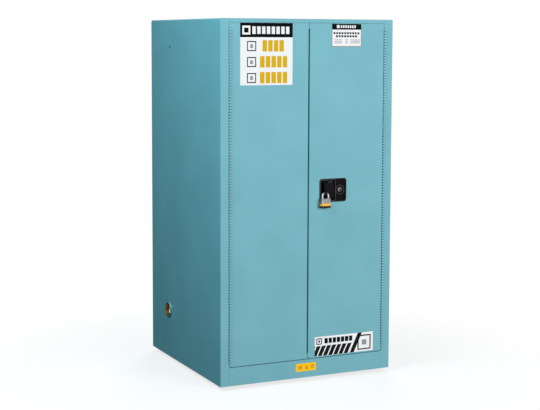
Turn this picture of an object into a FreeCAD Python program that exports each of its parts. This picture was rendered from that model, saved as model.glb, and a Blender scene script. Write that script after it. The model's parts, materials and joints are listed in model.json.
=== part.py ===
import FreeCAD, Part
import math
import os
import re

import Sketcher

# Two-door safety cabinet for bottles of corrosive liquids: a double-walled steel case with a
# leakproof sump, two hinged double-walled doors, a three-way latch worked by a paddle, two
# shelves, two vents with plugs, levelling feet and a padlock.
# Frame: X to the right, Y to the back, Z up. The origin is on the floor, under the middle of
# the whole object. Lengths are in millimetres.

os.makedirs("parts", exist_ok=True)
doc = FreeCAD.newDocument("SafetyCabinet")

# Driving dimensions
DIMENSIONS = (
    ("width", 864, "outer width of the case"),
    ("depth", 864, "outer depth of the case"),
    ("height", 1651, "floor to top of the case"),
    ("foot_gap", 19, "floor to underside of the case"),
    ("lock_reach", 26, "how far the padlock stands in front of the case"),
    ("stud_reach", 12, "how far the grounding stud stands behind the case"),
    ("metal", 1.2, "sheet steel thickness"),
    ("wall", 41.3, "double wall, outer face to inner face"),
    ("bend", 3, "outside radius of a bend in the sheet"),
    ("top_bend", 6, "outside radius of the bend along the top edges"),
    ("jamb_bend", 1.6, "outside radius of the bend at the door opening"),
    ("jamb", 46, "depth of the return around the door opening"),
    ("side_stop", 12, "how far the door stop stands in from a side"),
    ("rail", 17.5, "height of the strip above the doors"),
    ("sill", 82.5, "height of the strip below the doors"),
    ("top_gap", 1, "gap above a door"),
    ("sill_gap", 3.2, "gap below a door"),
    ("meeting_gap", 7, "gap between the two doors"),
    ("hinge_gap", 5, "gap between a door and the jamb"),
    ("door_thick", 43, "thickness of a door"),
    ("corner", 16, "corner radius of a door skin"),
    ("ear_gap", 1.2, "gap between the door skins above and below the edge slot"),
    ("ear_start", 26, "height of the skin's ear at the top of the meeting edge"),
    ("ear_end", 26, "height of the skin's ear at the bottom of the meeting edge"),
    ("hinge_low", 124, "floor to the bottom of the hinge"),
    ("knuckle", 12.7, "hinge knuckle pitch"),
    ("knuckle_count", 117, "knuckles in one hinge"),
    ("knuckle_radius", 3.5, "outside radius of a knuckle"),
    ("pin_radius", 1.6, "hinge pin radius"),
    ("hinge_out", 3, "hinge axis in front of the case"),
    ("leaf", 1.4, "hinge leaf thickness"),
    ("leaf_depth", 30, "hinge leaf depth"),
    ("running", 0.05, "radial clearance of a running fit"),
    ("sump_floor", 61, "floor to underside of the sump pan"),
    ("sump_depth", 51, "depth of the sump pan"),
    ("shelf_low", 600, "floor to top of the lower shelf"),
    ("shelf_high", 1100, "floor to top of the upper shelf"),
    ("shelf_lip", 25, "turned-down lip of a shelf"),
    ("shelf_rim", 8, "width of the flat rim around a shelf's dish"),
    ("shelf_dish", 6, "depth of a shelf's dish"),
    ("shelf_side_gap", 14, "gap beside a shelf"),
    ("shelf_front_gap", 12, "gap between the door stop and a shelf"),
    ("shelf_back_gap", 6, "gap behind a shelf"),
    ("standard_thick", 9, "how far a shelf standard stands in from the side"),
    ("pan_metal", 1.5, "thickness of the sump pan"),
    ("tray_wall", 3, "wall thickness of the sump tray"),
    ("vent_back", 636, "front face to the axis of a vent"),
    ("vent_low", 250, "floor to the axis of the lower vent"),
    ("vent_radius", 39.5, "radius of the vent's lip"),
    ("vent_rise", 7, "how far the vent's lip stands out from the side"),
    ("vent_bore", 33, "radius of the vent's threaded bore"),
    ("button_back", 612, "front face to the hole plug in the side"),
    ("button_height", 1521.5, "floor to the hole plug in the side"),
    ("handle_middle", 125.3, "middle of the case to the middle of the handle housing"),
    ("handle_height", 875.8, "floor to the middle of the handle housing"),
    ("handle_width", 139, "width of the handle housing"),
    ("handle_tall", 108, "height of the handle housing"),
    ("rim_thick", 1.5, "how far the housing's rim stands in front of the door"),
    ("bay_half", 46, "half the height of the housing's two bays"),
    ("bay_depth", 16, "front face to the floor of the paddle's bay"),
    ("pivot_pin", 2, "radius of the paddle's pivot pin"),
    ("lip_thick", 4, "thickness of the paddle's grip lip and padlock eye"),
    ("disc_height", 893.5, "floor to the axis of the latch disc"),
    ("disc_across", 122.6, "middle of the case to the axis of the latch disc"),
    ("disc_throw", 18, "latch disc axis to each of its pins"),
    ("disc_pin", 2.5, "radius of a latch disc's pin"),
    ("disc_stud", 4, "radius of the stud that carries the latch disc"),
    ("pin_play", 3.4, "half the height of the slot around a disc's pin"),
    ("rod_thick", 3, "thickness of a latch rod"),
    ("socket_radius", 6.5, "radius of the tube at the end of a rod"),
    ("pivot_across", 128, "middle of the case to the paddle's pivot"),
    ("latch_depth", 22.5, "front face to the middle of the latch rods"),
    ("bullet_radius", 4.5, "radius of a latch bullet"),
    ("cylinder_across", 160, "middle of the case to the lock cylinder"),
    ("cylinder_height", 876.5, "floor to the lock cylinder"),
    ("barrel_radius", 10, "radius of the lock cylinder's barrel"),
    ("plug_radius", 6.5, "radius of the key plug"),
    ("lock_across", 80, "middle of the case to the middle of the padlock"),
    ("shackle_height", 867.5, "floor to the top of the shackle's centre line"),
    ("shackle_radius", 4, "radius of the shackle's rod"),
    ("shackle_bend", 15, "radius of the shackle's centre line"),
    ("eye_radius", 6, "radius of the padlock eye in the paddle"),
    ("lock_half_width", 24, "half the width of the padlock's body"),
    ("lock_half_thick", 10.8, "half the thickness of the padlock's body"),
    ("lock_tall", 42.5, "height of the padlock's body"),
    ("foot_inset", 90, "side of the case to the axis of a foot"),
    ("foot_stud", 5, "radius of a foot's threaded stud"),
    ("stud_radius", 3.175, "radius of the grounding stud"),
    ("stud_neck", 5, "radius of the stud's neck in the back sheet"),
)

sheet = doc.addObject("Spreadsheet::Sheet", "Dims")
for row, (alias, number, meaning) in enumerate(DIMENSIONS, start=1):
    sheet.set("A%d" % row, meaning)
    sheet.set("B%d" % row, str(number))
    sheet.setAlias("B%d" % row, alias)
doc.recompute()

# Places worked out from the driving dimensions
PLACES = (
    ("half", "width / 2"),
    ("front", "-(depth + stud_reach - lock_reach) / 2"),
    ("back", "front + depth"),
    ("opening", "half - wall"),
    ("stop", "front + jamb"),
    ("inner_back_face", "back - wall"),
    ("ceiling", "height - wall"),
    ("rail_bottom", "height - rail"),
    ("sill_top", "foot_gap + sill"),
    ("door_top", "rail_bottom - top_gap"),
    ("door_bottom", "sill_top + sill_gap"),
    ("door_edge", "opening - hinge_gap"),
    ("meeting", "meeting_gap / 2"),
    ("door_back", "front + door_thick"),
    ("hinge_x", "opening - hinge_gap / 2"),
    ("hinge_y", "front - hinge_out"),
    ("hinge_length", "knuckle * knuckle_count"),
    ("hinge_high", "hinge_low + hinge_length"),
    ("sump_rim", "sump_floor + sump_depth"),
    ("vent_y", "front + vent_back"),
    ("vent_high", "height + foot_gap - vent_low"),
    ("latch_y", "front + latch_depth"),
    ("bolt_y", "front + latch_depth + 9"),
    ("rod_front", "latch_y - rod_thick / 2"),
    ("rod_back", "latch_y + rod_thick / 2"),
    ("bolt_z", "disc_height - disc_throw"),
    ("upper_rod_x", "disc_across - disc_throw - 5.6"),
    ("lower_rod_x", "disc_across + disc_throw + 3.9"),
    ("pivot_y", "front + 3.5"),
    ("lock_y", "front - 14"),
    ("lock_top", "shackle_height - 27"),
    ("eye_z", "shackle_height - shackle_radius - 0.8 + eye_radius"),
    ("shelf_side", "opening - shelf_side_gap"),
    ("shelf_front", "stop + shelf_front_gap"),
    ("shelf_back", "inner_back_face - shelf_back_gap"),
    ("stud_x", "opening - 40"),
    ("stud_z", "foot_gap + 60"),
)


def bound(words):
    """Turn plain alias words into references to the sheet and to the worked-out places."""
    aliases = {entry[0] for entry in DIMENSIONS}
    derived = {entry[0] for entry in PLACES}

    def refer(match):
        word = match.group(0)
        if word in aliases:
            return "Dims." + word
        if word in derived:
            return "Places." + word
        return word

    return re.sub(r"[a-z_]+", refer, str(words))


places = doc.addObject("App::VarSet", "Places")
for place_name, words in PLACES:
    places.addProperty("App::PropertyFloat", place_name)
    places.setExpression(place_name, bound(words))
places.addProperty("App::PropertyFloat", "scratch")
doc.recompute()

nodes = []

# Turns that lay a shape made along Z onto another axis
ALONG_Z = FreeCAD.Rotation()
ALONG_X = FreeCAD.Rotation(FreeCAD.Vector(0, 1, 0), 90)
ALONG_MINUS_X = FreeCAD.Rotation(FreeCAD.Vector(0, 1, 0), -90)
ALONG_Y = FreeCAD.Rotation(FreeCAD.Vector(1, 0, 0), -90)
ALONG_MINUS_Z = FreeCAD.Rotation(FreeCAD.Vector(1, 0, 0), 180)


def dim(alias):
    """A driving dimension, read from the sheet."""
    return float(sheet.get(alias))


def at(place_name):
    """A worked-out place, as a number."""
    return float(getattr(places, place_name))


def minus(words):
    """The same length on the other side of the middle plane."""
    return "-(%s)" % words


def keep(item, label):
    """Mark a finished sub-part, whose label names its file."""
    item.Label = label
    nodes.append(item)
    return item


def put(item, x, y, z, turn=ALONG_Z):
    """Place an object at a point given in alias words."""
    item.Placement = FreeCAD.Placement(FreeCAD.Vector(), turn)
    item.setExpression("Placement.Base.x", bound(x))
    item.setExpression("Placement.Base.y", bound(y))
    item.setExpression("Placement.Base.z", bound(z))
    return item


def block(x, y, z):
    """A box between two words on each axis, such as ("front", "back")."""
    item = doc.addObject("Part::Box", "block")
    for size, (low, high) in (("Length", x), ("Width", y), ("Height", z)):
        item.setExpression(size, bound("(%s) - (%s)" % (high, low)))
    return put(item, x[0], y[0], z[0])


def round_bar(radius, x, y, z, length, turn=ALONG_Z):
    """A cylinder that starts at a point and runs along the turned Z axis."""
    item = doc.addObject("Part::Cylinder", "round_bar")
    item.setExpression("Radius", bound(radius))
    item.setExpression("Height", bound(length))
    return put(item, x, y, z, turn)


def fuse(*pieces):
    """One solid from several, or a group of separate solids where they don't touch."""
    item = doc.addObject("Part::MultiFuse", "fuse")
    item.Shapes = list(pieces)
    item.Refine = True
    return item


def cut(base, *tools):
    """The base with every tool taken out of it."""
    tool = tools[0] if len(tools) == 1 else fuse(*tools)
    item = doc.addObject("Part::Cut", "cut")
    item.Base = base
    item.Tool = tool
    item.Refine = True
    return item


def rounded(base, *rules):
    """Fillet edges: each rule is a radius and a test on an edge and its middle point."""
    doc.recompute()
    edges = []
    for index, edge in enumerate(base.Shape.Edges, start=1):
        for radius, chosen in rules:
            if chosen(edge, edge.CenterOfMass):
                edges.append((index, radius, radius))
                break
    if not edges:
        raise RuntimeError("no edge to round on " + base.Label)
    item = doc.addObject("Part::Fillet", "rounded")
    item.Base = base
    item.Edges = edges
    doc.recompute()
    if item.Shape.isNull() or not item.Shape.isValid():
        raise RuntimeError("fillet failed on " + base.Label)
    return item


def near(a, b):
    """Whether two lengths are the same to a hundredth."""
    return abs(a - b) < 0.01


def runs_along(edge, axis):
    """Whether a straight edge runs along X, Y or Z (0, 1 or 2)."""
    if edge.Curve.TypeId != "Part::GeomLine":
        return False
    return abs(abs(edge.tangentAt(edge.FirstParameter)[axis]) - 1) < 1e-6


def shape_piece(label, shape):
    """A sub-part whose shape is worked out with Part's own functions."""
    item = doc.addObject("Part::Feature", label)
    item.Shape = shape
    return keep(item, label)


def origin_plane(body, role):
    """One of a body's own origin planes."""
    for feature in body.Origin.OriginFeatures:
        if feature.Role == role:
            return feature
    raise RuntimeError("no plane " + role)


def new_sketch(body, role):
    """A sketch on a body's own origin plane."""
    sketch = body.newObject("Sketcher::SketchObject", "outline")
    sketch.AttachmentSupport = [(origin_plane(body, role), "")]
    sketch.MapMode = "FlatFace"
    return sketch


def pin_point(sketch, line, end, axis, words, number):
    """Fix one coordinate of a sketch point, by a bound distance or on the axis itself."""
    if near(number, 0):
        axis_line = -1 if axis == "Y" else -2
        sketch.addConstraint(Sketcher.Constraint("PointOnObject", line, end, axis_line))
        return
    kind = "Distance" + axis
    place = sketch.addConstraint(Sketcher.Constraint(kind, -1, 1, line, end, number))
    sketch.setExpression("Constraints[%d]" % place, bound(words))


def outline(sketch, points):
    """A closed outline of straight lines through points, each (x words, y words, x, y)."""
    count = len(points)
    lines = []
    for index in range(count):
        here = points[index]
        following = points[(index + 1) % count]
        start = FreeCAD.Vector(here[2], here[3], 0)
        finish = FreeCAD.Vector(following[2], following[3], 0)
        lines.append(sketch.addGeometry(Part.LineSegment(start, finish), False))
    for index in range(count):
        following = lines[(index + 1) % count]
        sketch.addConstraint(Sketcher.Constraint("Coincident", lines[index], 2, following, 1))
    for index, (x_words, y_words, x, y) in enumerate(points):
        pin_point(sketch, lines[index], 1, "X", x_words, x)
        pin_point(sketch, lines[index], 1, "Y", y_words, y)


def turned(profile, x, y, z, turn=ALONG_Z):
    """A body of revolution: the profile's points are (radius words, height words)."""
    body = doc.addObject("PartDesign::Body", "turned")
    sketch = new_sketch(body, "XZ_Plane")
    points = []
    for radius_words, height_words in profile:
        points.append((radius_words, height_words, number_of(radius_words), number_of(height_words)))
    outline(sketch, points)
    spin = body.newObject("PartDesign::Revolution", "spin")
    spin.Profile = sketch
    spin.ReferenceAxis = (sketch, ["V_Axis"])
    spin.Angle = 360
    doc.recompute()
    return put(body, x, y, z, turn)


def number_of(words):
    """The number that alias words stand for, worked out by the document itself."""
    places.setExpression("scratch", bound(words))
    doc.recompute([places])
    return float(places.scratch)


def rounded_outline(sketch, width_words, height_words, radius_words):
    """A rectangle centred on the sketch's origin, with its corners rounded."""
    half_width = number_of(width_words) / 2
    half_height = number_of(height_words) / 2
    radius = number_of(radius_words)
    right = half_width - radius
    upper = half_height - radius
    corners = ((right, upper, 0), (-right, upper, 90), (-right, -upper, 180), (right, -upper, 270))
    arcs = []
    for across, up, start in corners:
        circle = Part.Circle(FreeCAD.Vector(across, up, 0), FreeCAD.Vector(0, 0, 1), radius)
        first = math.radians(start)
        arcs.append(sketch.addGeometry(Part.ArcOfCircle(circle, first, first + math.pi / 2), False))
    sides = []
    for index in range(4):
        here = sketch.Geometry[arcs[index]].EndPoint
        there = sketch.Geometry[arcs[(index + 1) % 4]].StartPoint
        sides.append(sketch.addGeometry(Part.LineSegment(here, there), False))
    for index in range(4):
        following = arcs[(index + 1) % 4]
        sketch.addConstraint(Sketcher.Constraint("Tangent", arcs[index], 2, sides[index], 1))
        sketch.addConstraint(Sketcher.Constraint("Tangent", sides[index], 2, following, 1))
    sketch.addConstraint(Sketcher.Constraint("Horizontal", sides[0]))
    sketch.addConstraint(Sketcher.Constraint("Vertical", sides[1]))
    sketch.addConstraint(Sketcher.Constraint("Horizontal", sides[2]))
    sketch.addConstraint(Sketcher.Constraint("Vertical", sides[3]))
    for index in range(1, 4):
        sketch.addConstraint(Sketcher.Constraint("Equal", arcs[0], arcs[index]))
    place = sketch.addConstraint(Sketcher.Constraint("Radius", arcs[0], radius))
    sketch.setExpression("Constraints[%d]" % place, bound(radius_words))
    sketch.addConstraint(Sketcher.Constraint("Symmetric", arcs[0], 3, arcs[2], 3, -1, 1))
    place = sketch.addConstraint(
        Sketcher.Constraint("DistanceX", arcs[1], 3, arcs[0], 3, 2 * right))
    sketch.setExpression("Constraints[%d]" % place, bound("(%s) - 2 * (%s)" % (width_words, radius_words)))
    place = sketch.addConstraint(
        Sketcher.Constraint("DistanceY", arcs[3], 3, arcs[0], 3, 2 * upper))
    sketch.setExpression("Constraints[%d]" % place, bound("(%s) - 2 * (%s)" % (height_words, radius_words)))


def pad(width_words, height_words, radius_words, thick_words, x, y, z, turn=ALONG_Z):
    """A padded plate with rounded corners, centred on its place and rising along local Z."""
    body = doc.addObject("PartDesign::Body", "padded")
    sketch = new_sketch(body, "XY_Plane")
    rounded_outline(sketch, width_words, height_words, radius_words)
    plate = body.newObject("PartDesign::Pad", "plate")
    plate.Profile = sketch
    plate.setExpression("Length", bound(thick_words))
    doc.recompute()
    return put(body, x, y, z, turn)


def side_span(sign, low, high):
    """An X span given for the right-hand side, turned over for the left-hand side."""
    if sign > 0:
        return (low, high)
    return (minus(high), minus(low))


def side_place(sign, words):
    """An X place given for the right-hand side, turned over for the left-hand side."""
    return words if sign > 0 else minus(words)


def vent_height(sign):
    """Height of the vent on one side: low on the left, high on the right."""
    return "vent_low" if sign < 0 else "vent_high"


SIDES = (("left", -1), ("right", 1))


# Outer shell: two folded sides, a folded top, a sill, a bottom sheet and a back pan
def bent_box(box, sign, skin):
    """Round the outer edges of a side's box, or of its hollow, which lies one skin inside."""
    outer_x = sign * (at("half") - skin)
    jamb_x = sign * (at("opening") + skin)
    front_y = at("front") + skin
    top_z = dim("height") - skin
    return rounded(
        box,
        (dim("bend") - skin, lambda edge, middle: (
            runs_along(edge, 2) and near(middle.y, front_y) and near(middle.x, outer_x))),
        (dim("jamb_bend") - skin, lambda edge, middle: (
            runs_along(edge, 2) and near(middle.y, front_y) and near(middle.x, jamb_x))),
        (dim("top_bend") - skin, lambda edge, middle: (
            runs_along(edge, 1) and near(middle.x, outer_x) and near(middle.z, top_z))))


def make_outer_side(sign):
    """Side wall with its front strip and the return around the door opening."""
    full = block(side_span(sign, "opening", "half"), ("front", "back"), ("foot_gap", "height"))
    hollow = block(side_span(sign, "opening + metal", "half - metal"),
                   ("front + metal", "back + 1"), ("foot_gap + metal", "height - metal"))
    behind = block(side_span(sign, "opening - 1", "opening + metal + 0.001"),
                   ("stop", "back + 1"), ("foot_gap + metal", "height - metal"))
    bent = cut(bent_box(full, sign, 0), bent_box(hollow, sign, dim("metal")), behind)
    vent = round_bar("vent_radius", side_place(sign, "half - 20"), "vent_y", vent_height(sign), "40",
                     ALONG_X if sign > 0 else ALONG_MINUS_X)
    if sign > 0:
        return keep(cut(bent, vent), "outer_right_side")
    button = round_bar("6.35", "-half - 5", "front + button_back", "button_height", "10", ALONG_X)
    return keep(cut(bent, vent, button), "outer_left_side")


def make_outer_top():
    """Top sheet folded down over the doors, with a return behind the fold."""
    span = (minus("opening"), "opening")
    full = block(span, ("front", "back"), ("rail_bottom", "height"))
    hollow = block(("-opening - 1", "opening + 1"), ("front + metal", "back + 1"),
                   ("rail_bottom + metal", "height - metal"))
    behind = block(("-opening - 1", "opening + 1"), ("stop", "back + 1"),
                   ("rail_bottom - 1", "rail_bottom + metal + 0.001"))
    bent = cut(full, hollow, behind)
    holes = []
    for across in ("upper_rod_x", "-upper_rod_x"):
        holes.append(round_bar("bullet_radius + 1", across, "latch_y", "rail_bottom - 3", "8"))
    return keep(cut(bent, *holes), "outer_top")


def make_front_sill():
    """Folded sill under the doors: a front strip with a shelf at its top and its bottom."""
    span = (minus("opening"), "opening")
    full = block(span, ("front", "stop"), ("foot_gap", "sill_top"))
    hollow = block(("-opening - 1", "opening + 1"), ("front + metal", "stop + 1"),
                   ("foot_gap + metal", "sill_top - metal"))
    holes = []
    for across in ("lower_rod_x", "-upper_rod_x"):
        holes.append(round_bar("bullet_radius + 1", across, "latch_y", "sill_top - 5", "8"))
    return keep(cut(full, hollow, *holes), "front_sill")


def foot_spots():
    """Name and place of each levelling foot, as words."""
    spots = []
    for end_name, y in (("front", "front + foot_inset"), ("back", "back - foot_inset")):
        for side_name, sign in SIDES:
            spots.append((end_name + "_" + side_name, side_place(sign, "half - foot_inset"), y))
    return spots


def make_outer_bottom():
    """Bottom sheet with a hole for each levelling foot."""
    plate = block((minus("opening"), "opening"), ("stop", "back"),
                  ("foot_gap", "foot_gap + metal"))
    holes = [round_bar("foot_stud + 0.6", x, y, "foot_gap - 5", "10") for spot, x, y in foot_spots()]
    return keep(cut(plate, *holes), "outer_bottom")


def top_rounded(box, inset):
    """Round a back pan's two top corners to follow the bend of the sides around it."""
    top_z = dim("height") - inset
    return rounded(box, (dim("top_bend") - inset, lambda edge, middle: (
        runs_along(edge, 1) and near(middle.z, top_z))))


def make_outer_back():
    """Back pan: a sheet with its four edges folded forward inside the case."""
    full = block(("-half + metal", "half - metal"), ("back - 20", "back"),
                 ("foot_gap + metal", "height - metal"))
    hollow = block(("-half + 2 * metal", "half - 2 * metal"), ("back - 25", "back - metal"),
                   ("foot_gap + 2 * metal", "height - 2 * metal"))
    full = top_rounded(full, dim("metal"))
    hollow = top_rounded(hollow, 2 * dim("metal"))
    stud_hole = round_bar("stud_neck", "stud_x", "back - 6", "stud_z", "10", ALONG_Y)
    return keep(cut(full, hollow, stud_hole), "outer_back")


# Inner shell: two side sheets, a back, a ceiling with a door stop, and the sump pan
def make_inner_side(side_name, sign):
    """Inner side sheet with the door stop at its front and a hole for the vent sleeve."""
    plate = block(side_span(sign, "opening", "opening + metal"),
                  ("stop", "inner_back_face + metal"), ("sump_rim - 12", "ceiling + metal"))
    stop = block(side_span(sign, "opening - side_stop", "opening"), ("stop", "stop + metal"),
                 ("sump_rim", "ceiling"))
    hole = round_bar("vent_bore + 2.5", side_place(sign, "opening - 10"), "vent_y", vent_height(sign),
                     "20", ALONG_X if sign > 0 else ALONG_MINUS_X)
    return keep(cut(fuse(plate, stop), hole), "inner_%s_side" % side_name)


def make_inner_back():
    """Inner back sheet."""
    plate = block((minus("opening"), "opening"), ("inner_back_face", "inner_back_face + metal"),
                  ("sump_rim", "ceiling"))
    return keep(plate, "inner_back")


def make_inner_top():
    """Ceiling sheet, folded up at the front as a stop behind the doors."""
    span = (minus("opening"), "opening")
    flat = block(span, ("stop", "inner_back_face + metal"), ("ceiling", "ceiling + metal"))
    fold = block(span, ("stop", "stop + metal"), ("ceiling", "rail_bottom + metal"))
    return keep(fuse(flat, fold), "inner_top")


def make_sump_pan():
    """Leakproof pan under the compartment, whose front wall is the door stop."""
    full = block((minus("opening"), "opening"), ("stop", "inner_back_face + metal"),
                 ("sump_floor", "sump_rim"))
    hollow = block(("-opening + pan_metal", "opening - pan_metal"),
                   ("stop + pan_metal", "inner_back_face + metal - pan_metal"),
                   ("sump_floor + pan_metal", "sump_rim + 1"))
    return keep(cut(full, hollow), "sump_pan")


def make_wall_channels():
    """Upright channels that hold the two walls apart."""
    channels = []
    for sign in (-1, 1):
        for y in ("-200", "60"):
            full = block(side_span(sign, "opening + metal", "half - metal"), (y, y + " + 30"),
                         ("sump_rim + 30", "ceiling - 30"))
            hollow = block(side_span(sign, "opening + 2 * metal", "half - 2 * metal"),
                           (y + " + metal", y + " + 31"), ("sump_rim", "ceiling"))
            channels.append(cut(full, hollow))
    for x in ("-215", "185"):
        full = block((x, x + " + 30"), ("inner_back_face + metal", "back - metal"),
                     ("sump_rim + 30", "ceiling - 30"))
        hollow = block((x + " + metal", x + " + 31"), ("inner_back_face + 2 * metal", "back - 2 * metal"),
                       ("sump_rim", "ceiling"))
        channels.append(cut(full, hollow))
    return keep(fuse(*channels), "wall_channels")


# Vents: a sleeve through both walls, a flame screen across it and a screwed plug
def make_vent_sleeve(side_name, sign):
    """Turned sleeve with a raised lip outside and a collar inside the compartment."""
    profile = (
        ("vent_bore", "-vent_rise"), ("vent_bore + 2", "-vent_rise"), ("vent_radius", "0"),
        ("vent_radius", "9"), ("vent_bore + 2.5", "9"), ("vent_bore + 2.5", "wall"),
        ("vent_bore + 9", "wall"), ("vent_bore + 9", "wall + 3"), ("vent_bore", "wall + 3"))
    turn = ALONG_MINUS_X if sign > 0 else ALONG_X
    sleeve = turned(profile, side_place(sign, "half"), "vent_y", vent_height(sign), turn)
    return keep(sleeve, side_name + "_vent_sleeve")


def make_vent_screens():
    """Woven flame screens, one across each sleeve."""
    screens = []
    for side_name, sign in SIDES:
        turn = ALONG_MINUS_X if sign > 0 else ALONG_X
        screens.append(round_bar("vent_bore", side_place(sign, "half - 36"), "vent_y",
                                 vent_height(sign), "2", turn))
    return keep(fuse(*screens), "vent_flame_screens")


def make_vent_plug(side_name, sign):
    """Screwed plug with a raised rim and a square boss for the wrench."""
    radius = "vent_bore - running"
    profile = (
        ("0", "8"), ("vent_bore - 8", "8"), ("vent_bore - 6", "3"), ("vent_bore - 2", "3"),
        (radius, "5"), (radius, "20"), ("vent_bore - 4", "20"), ("vent_bore - 4", "12"), ("0", "12"))
    turn = ALONG_MINUS_X if sign > 0 else ALONG_X
    disc = turned(profile, side_place(sign, "half - 7"), "vent_y", vent_height(sign), turn)
    boss = block(side_span(sign, "half - 16", "half - 9"), ("vent_y - 10", "vent_y + 10"),
                 (vent_height(sign) + " - 10", vent_height(sign) + " + 10"))
    return keep(fuse(disc, boss), side_name + "_vent_plug")


def make_side_button():
    """Flush plug, held from inside, that closes a hole near the top of the left side."""
    profile = (("0", "0"), ("5.4", "0"), ("6.3", "0.7"), ("6.3", "metal"), ("7.6", "metal"),
               ("7.6", "metal + 1.4"), ("0", "metal + 1.4"))
    button = turned(profile, "-half", "front + button_back", "button_height", ALONG_X)
    return keep(button, "side_plug_button")


def make_ground_stud():
    """Grounding stud through the back sheet, with a shoulder inside."""
    shank = round_bar("stud_radius", "stud_x", "back", "stud_z", "stud_reach", ALONG_Y)
    neck = round_bar("stud_neck", "stud_x", "back - metal", "stud_z", "metal", ALONG_Y)
    shoulder = round_bar("stud_neck + 3", "stud_x", "back - metal - 3", "stud_z", "3", ALONG_Y)
    return keep(fuse(shank, neck, shoulder), "ground_stud")


# Levelling feet: a pad turned in one with its threaded stud, held by a nut in the case
def make_foot(spot, x, y):
    """Foot with a cupped pad and a stud."""
    profile = (("0", "0"), ("18", "0"), ("19", "1"), ("19", "4"), ("9", "9"), ("9", "14"),
               ("foot_stud", "14"), ("foot_stud", "52"), ("0", "52"))
    return keep(turned(profile, x, y, "0"), "foot_" + spot)


def make_foot_nuts():
    """Weld nuts on the bottom sheet, one for each foot."""
    nuts = []
    for spot, x, y in foot_spots():
        body = round_bar("11", x, y, "foot_gap + metal", "9")
        bore = round_bar("foot_stud + running", x, y, "foot_gap", "20")
        nuts.append(cut(body, bore))
    return keep(fuse(*nuts), "foot_nuts")


# Hinges: full-height strips of knuckles, every second one on each leaf
LEAF_START = 0.9
KNUCKLE_GAP = 0.4


def hinge_profile(sign, leaf_low, leaf_high):
    """Cross-section through a knuckle: bored ring, tab and leaf, as one flat face."""
    axis = FreeCAD.Vector(sign * at("hinge_x"), at("hinge_y"), dim("hinge_low"))
    left, right = sorted((sign * leaf_low, sign * leaf_high))
    leaf_end = at("front") + LEAF_START + dim("leaf_depth")
    corners = ((left, axis.y), (right, axis.y), (right, leaf_end), (left, leaf_end), (left, axis.y))
    strip = Part.Face(Part.makePolygon([FreeCAD.Vector(x, y, axis.z) for x, y in corners]))
    ring = Part.Face(Part.Wire(Part.makeCircle(dim("knuckle_radius"), axis)))
    bore = Part.Face(Part.Wire(Part.makeCircle(dim("pin_radius") + dim("running"), axis)))
    return strip.fuse(ring).cut(bore).removeSplitter().Faces[0]


def knuckle_strip(sign, first, leaf_low, leaf_high):
    """Leaf with every second knuckle, made by clearing the other leaf's knuckles."""
    profile = hinge_profile(sign, leaf_low, leaf_high)
    pitch = dim("knuckle")
    count = int(dim("knuckle_count"))
    whole = profile.extrude(FreeCAD.Vector(0, 0, count * pitch))
    rooms = []
    for index in range(1 - first, count, 2):
        corner = FreeCAD.Vector(sign * at("hinge_x") - 5, at("hinge_y") - 5,
                                dim("hinge_low") + index * pitch - KNUCKLE_GAP / 2)
        room_depth = at("front") + LEAF_START - corner.y
        rooms.append(Part.makeBox(10, room_depth, pitch + KNUCKLE_GAP, corner))
    return whole.cut(rooms).removeSplitter()


def make_hinges():
    """Frame leaf and door leaf of both hinges, and their pins."""
    leaf = dim("leaf")
    pins = []
    for side_name, sign in SIDES:
        frame_leaf = knuckle_strip(sign, 0, at("opening") - leaf, at("opening"))
        shape_piece(side_name + "_hinge_frame_leaf", frame_leaf)
        door_leaf = knuckle_strip(sign, 1, at("door_edge"), at("door_edge") + leaf)
        shape_piece(side_name + "_hinge_door_leaf", door_leaf)
        shank = round_bar("pin_radius", side_place(sign, "hinge_x"), "hinge_y", "hinge_low - 1.5",
                          "hinge_length + 3")
        head = round_bar("2.6", side_place(sign, "hinge_x"), "hinge_y", "hinge_high + 0.3", "1.4")
        pins.append(fuse(shank, head))
    keep(fuse(*pins), "hinge_pins")


# Shelf hardware, shelves and the sump tray
STANDARD_SPOTS = (("stop + 100", "stop + 120"), ("inner_back_face - 80", "inner_back_face - 60"))


def make_shelf_standards():
    """Slotted upright strips, two on each inner side."""
    slot_pitch = 38
    slot_tall = 12
    first_slot = at("sump_rim") + 80
    count = int((at("ceiling") - 60 - first_slot) / slot_pitch)
    strips = []
    for sign in (-1, 1):
        for y_low, y_high in STANDARD_SPOTS:
            strip = block(side_span(sign, "opening - standard_thick", "opening"), (y_low, y_high),
                          ("sump_rim + 50", "ceiling - 40"))
            doc.recompute()
            middle = number_of("(%s + %s) / 2" % (y_low, y_high))
            slots = []
            for index in range(count):
                corner = FreeCAD.Vector(-5, middle - 2, first_slot + index * slot_pitch)
                slot = Part.makeBox(10, 4, slot_tall, corner)
                slot.translate(FreeCAD.Vector(sign * (at("opening") - dim("standard_thick")), 0, 0))
                slots.append(slot)
            cutter = doc.addObject("Part::Feature", "slots")
            cutter.Shape = Part.makeCompound(slots)
            strips.append(cut(strip, cutter))
    return keep(fuse(*strips), "shelf_standards")


def make_shelf_brackets():
    """Hooked brackets under the corners of both shelves."""
    brackets = []
    for shelf in ("shelf_low", "shelf_high"):
        for sign in (-1, 1):
            for y_low, y_high in STANDARD_SPOTS:
                y = (y_low + " + 3", y_high + " - 3")
                arm = block(side_span(sign, "opening - 32", "opening - standard_thick"), y,
                            (shelf + " - shelf_lip - 4", shelf + " - shelf_lip"))
                web = block(side_span(sign, "opening - 13", "opening - standard_thick"), y,
                            (shelf + " - shelf_lip - 34", shelf + " - shelf_lip - 4"))
                brackets.append(fuse(arm, web))
    return keep(fuse(*brackets), "shelf_brackets")


def shelf_block(inset, low, high):
    """A box over a shelf's plan, smaller by an inset on all four sides."""
    x = ("-shelf_side + " + inset, "shelf_side - (%s)" % inset)
    y = ("shelf_front + " + inset, "shelf_back - (%s)" % inset)
    return block(x, y, (low, high))


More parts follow.
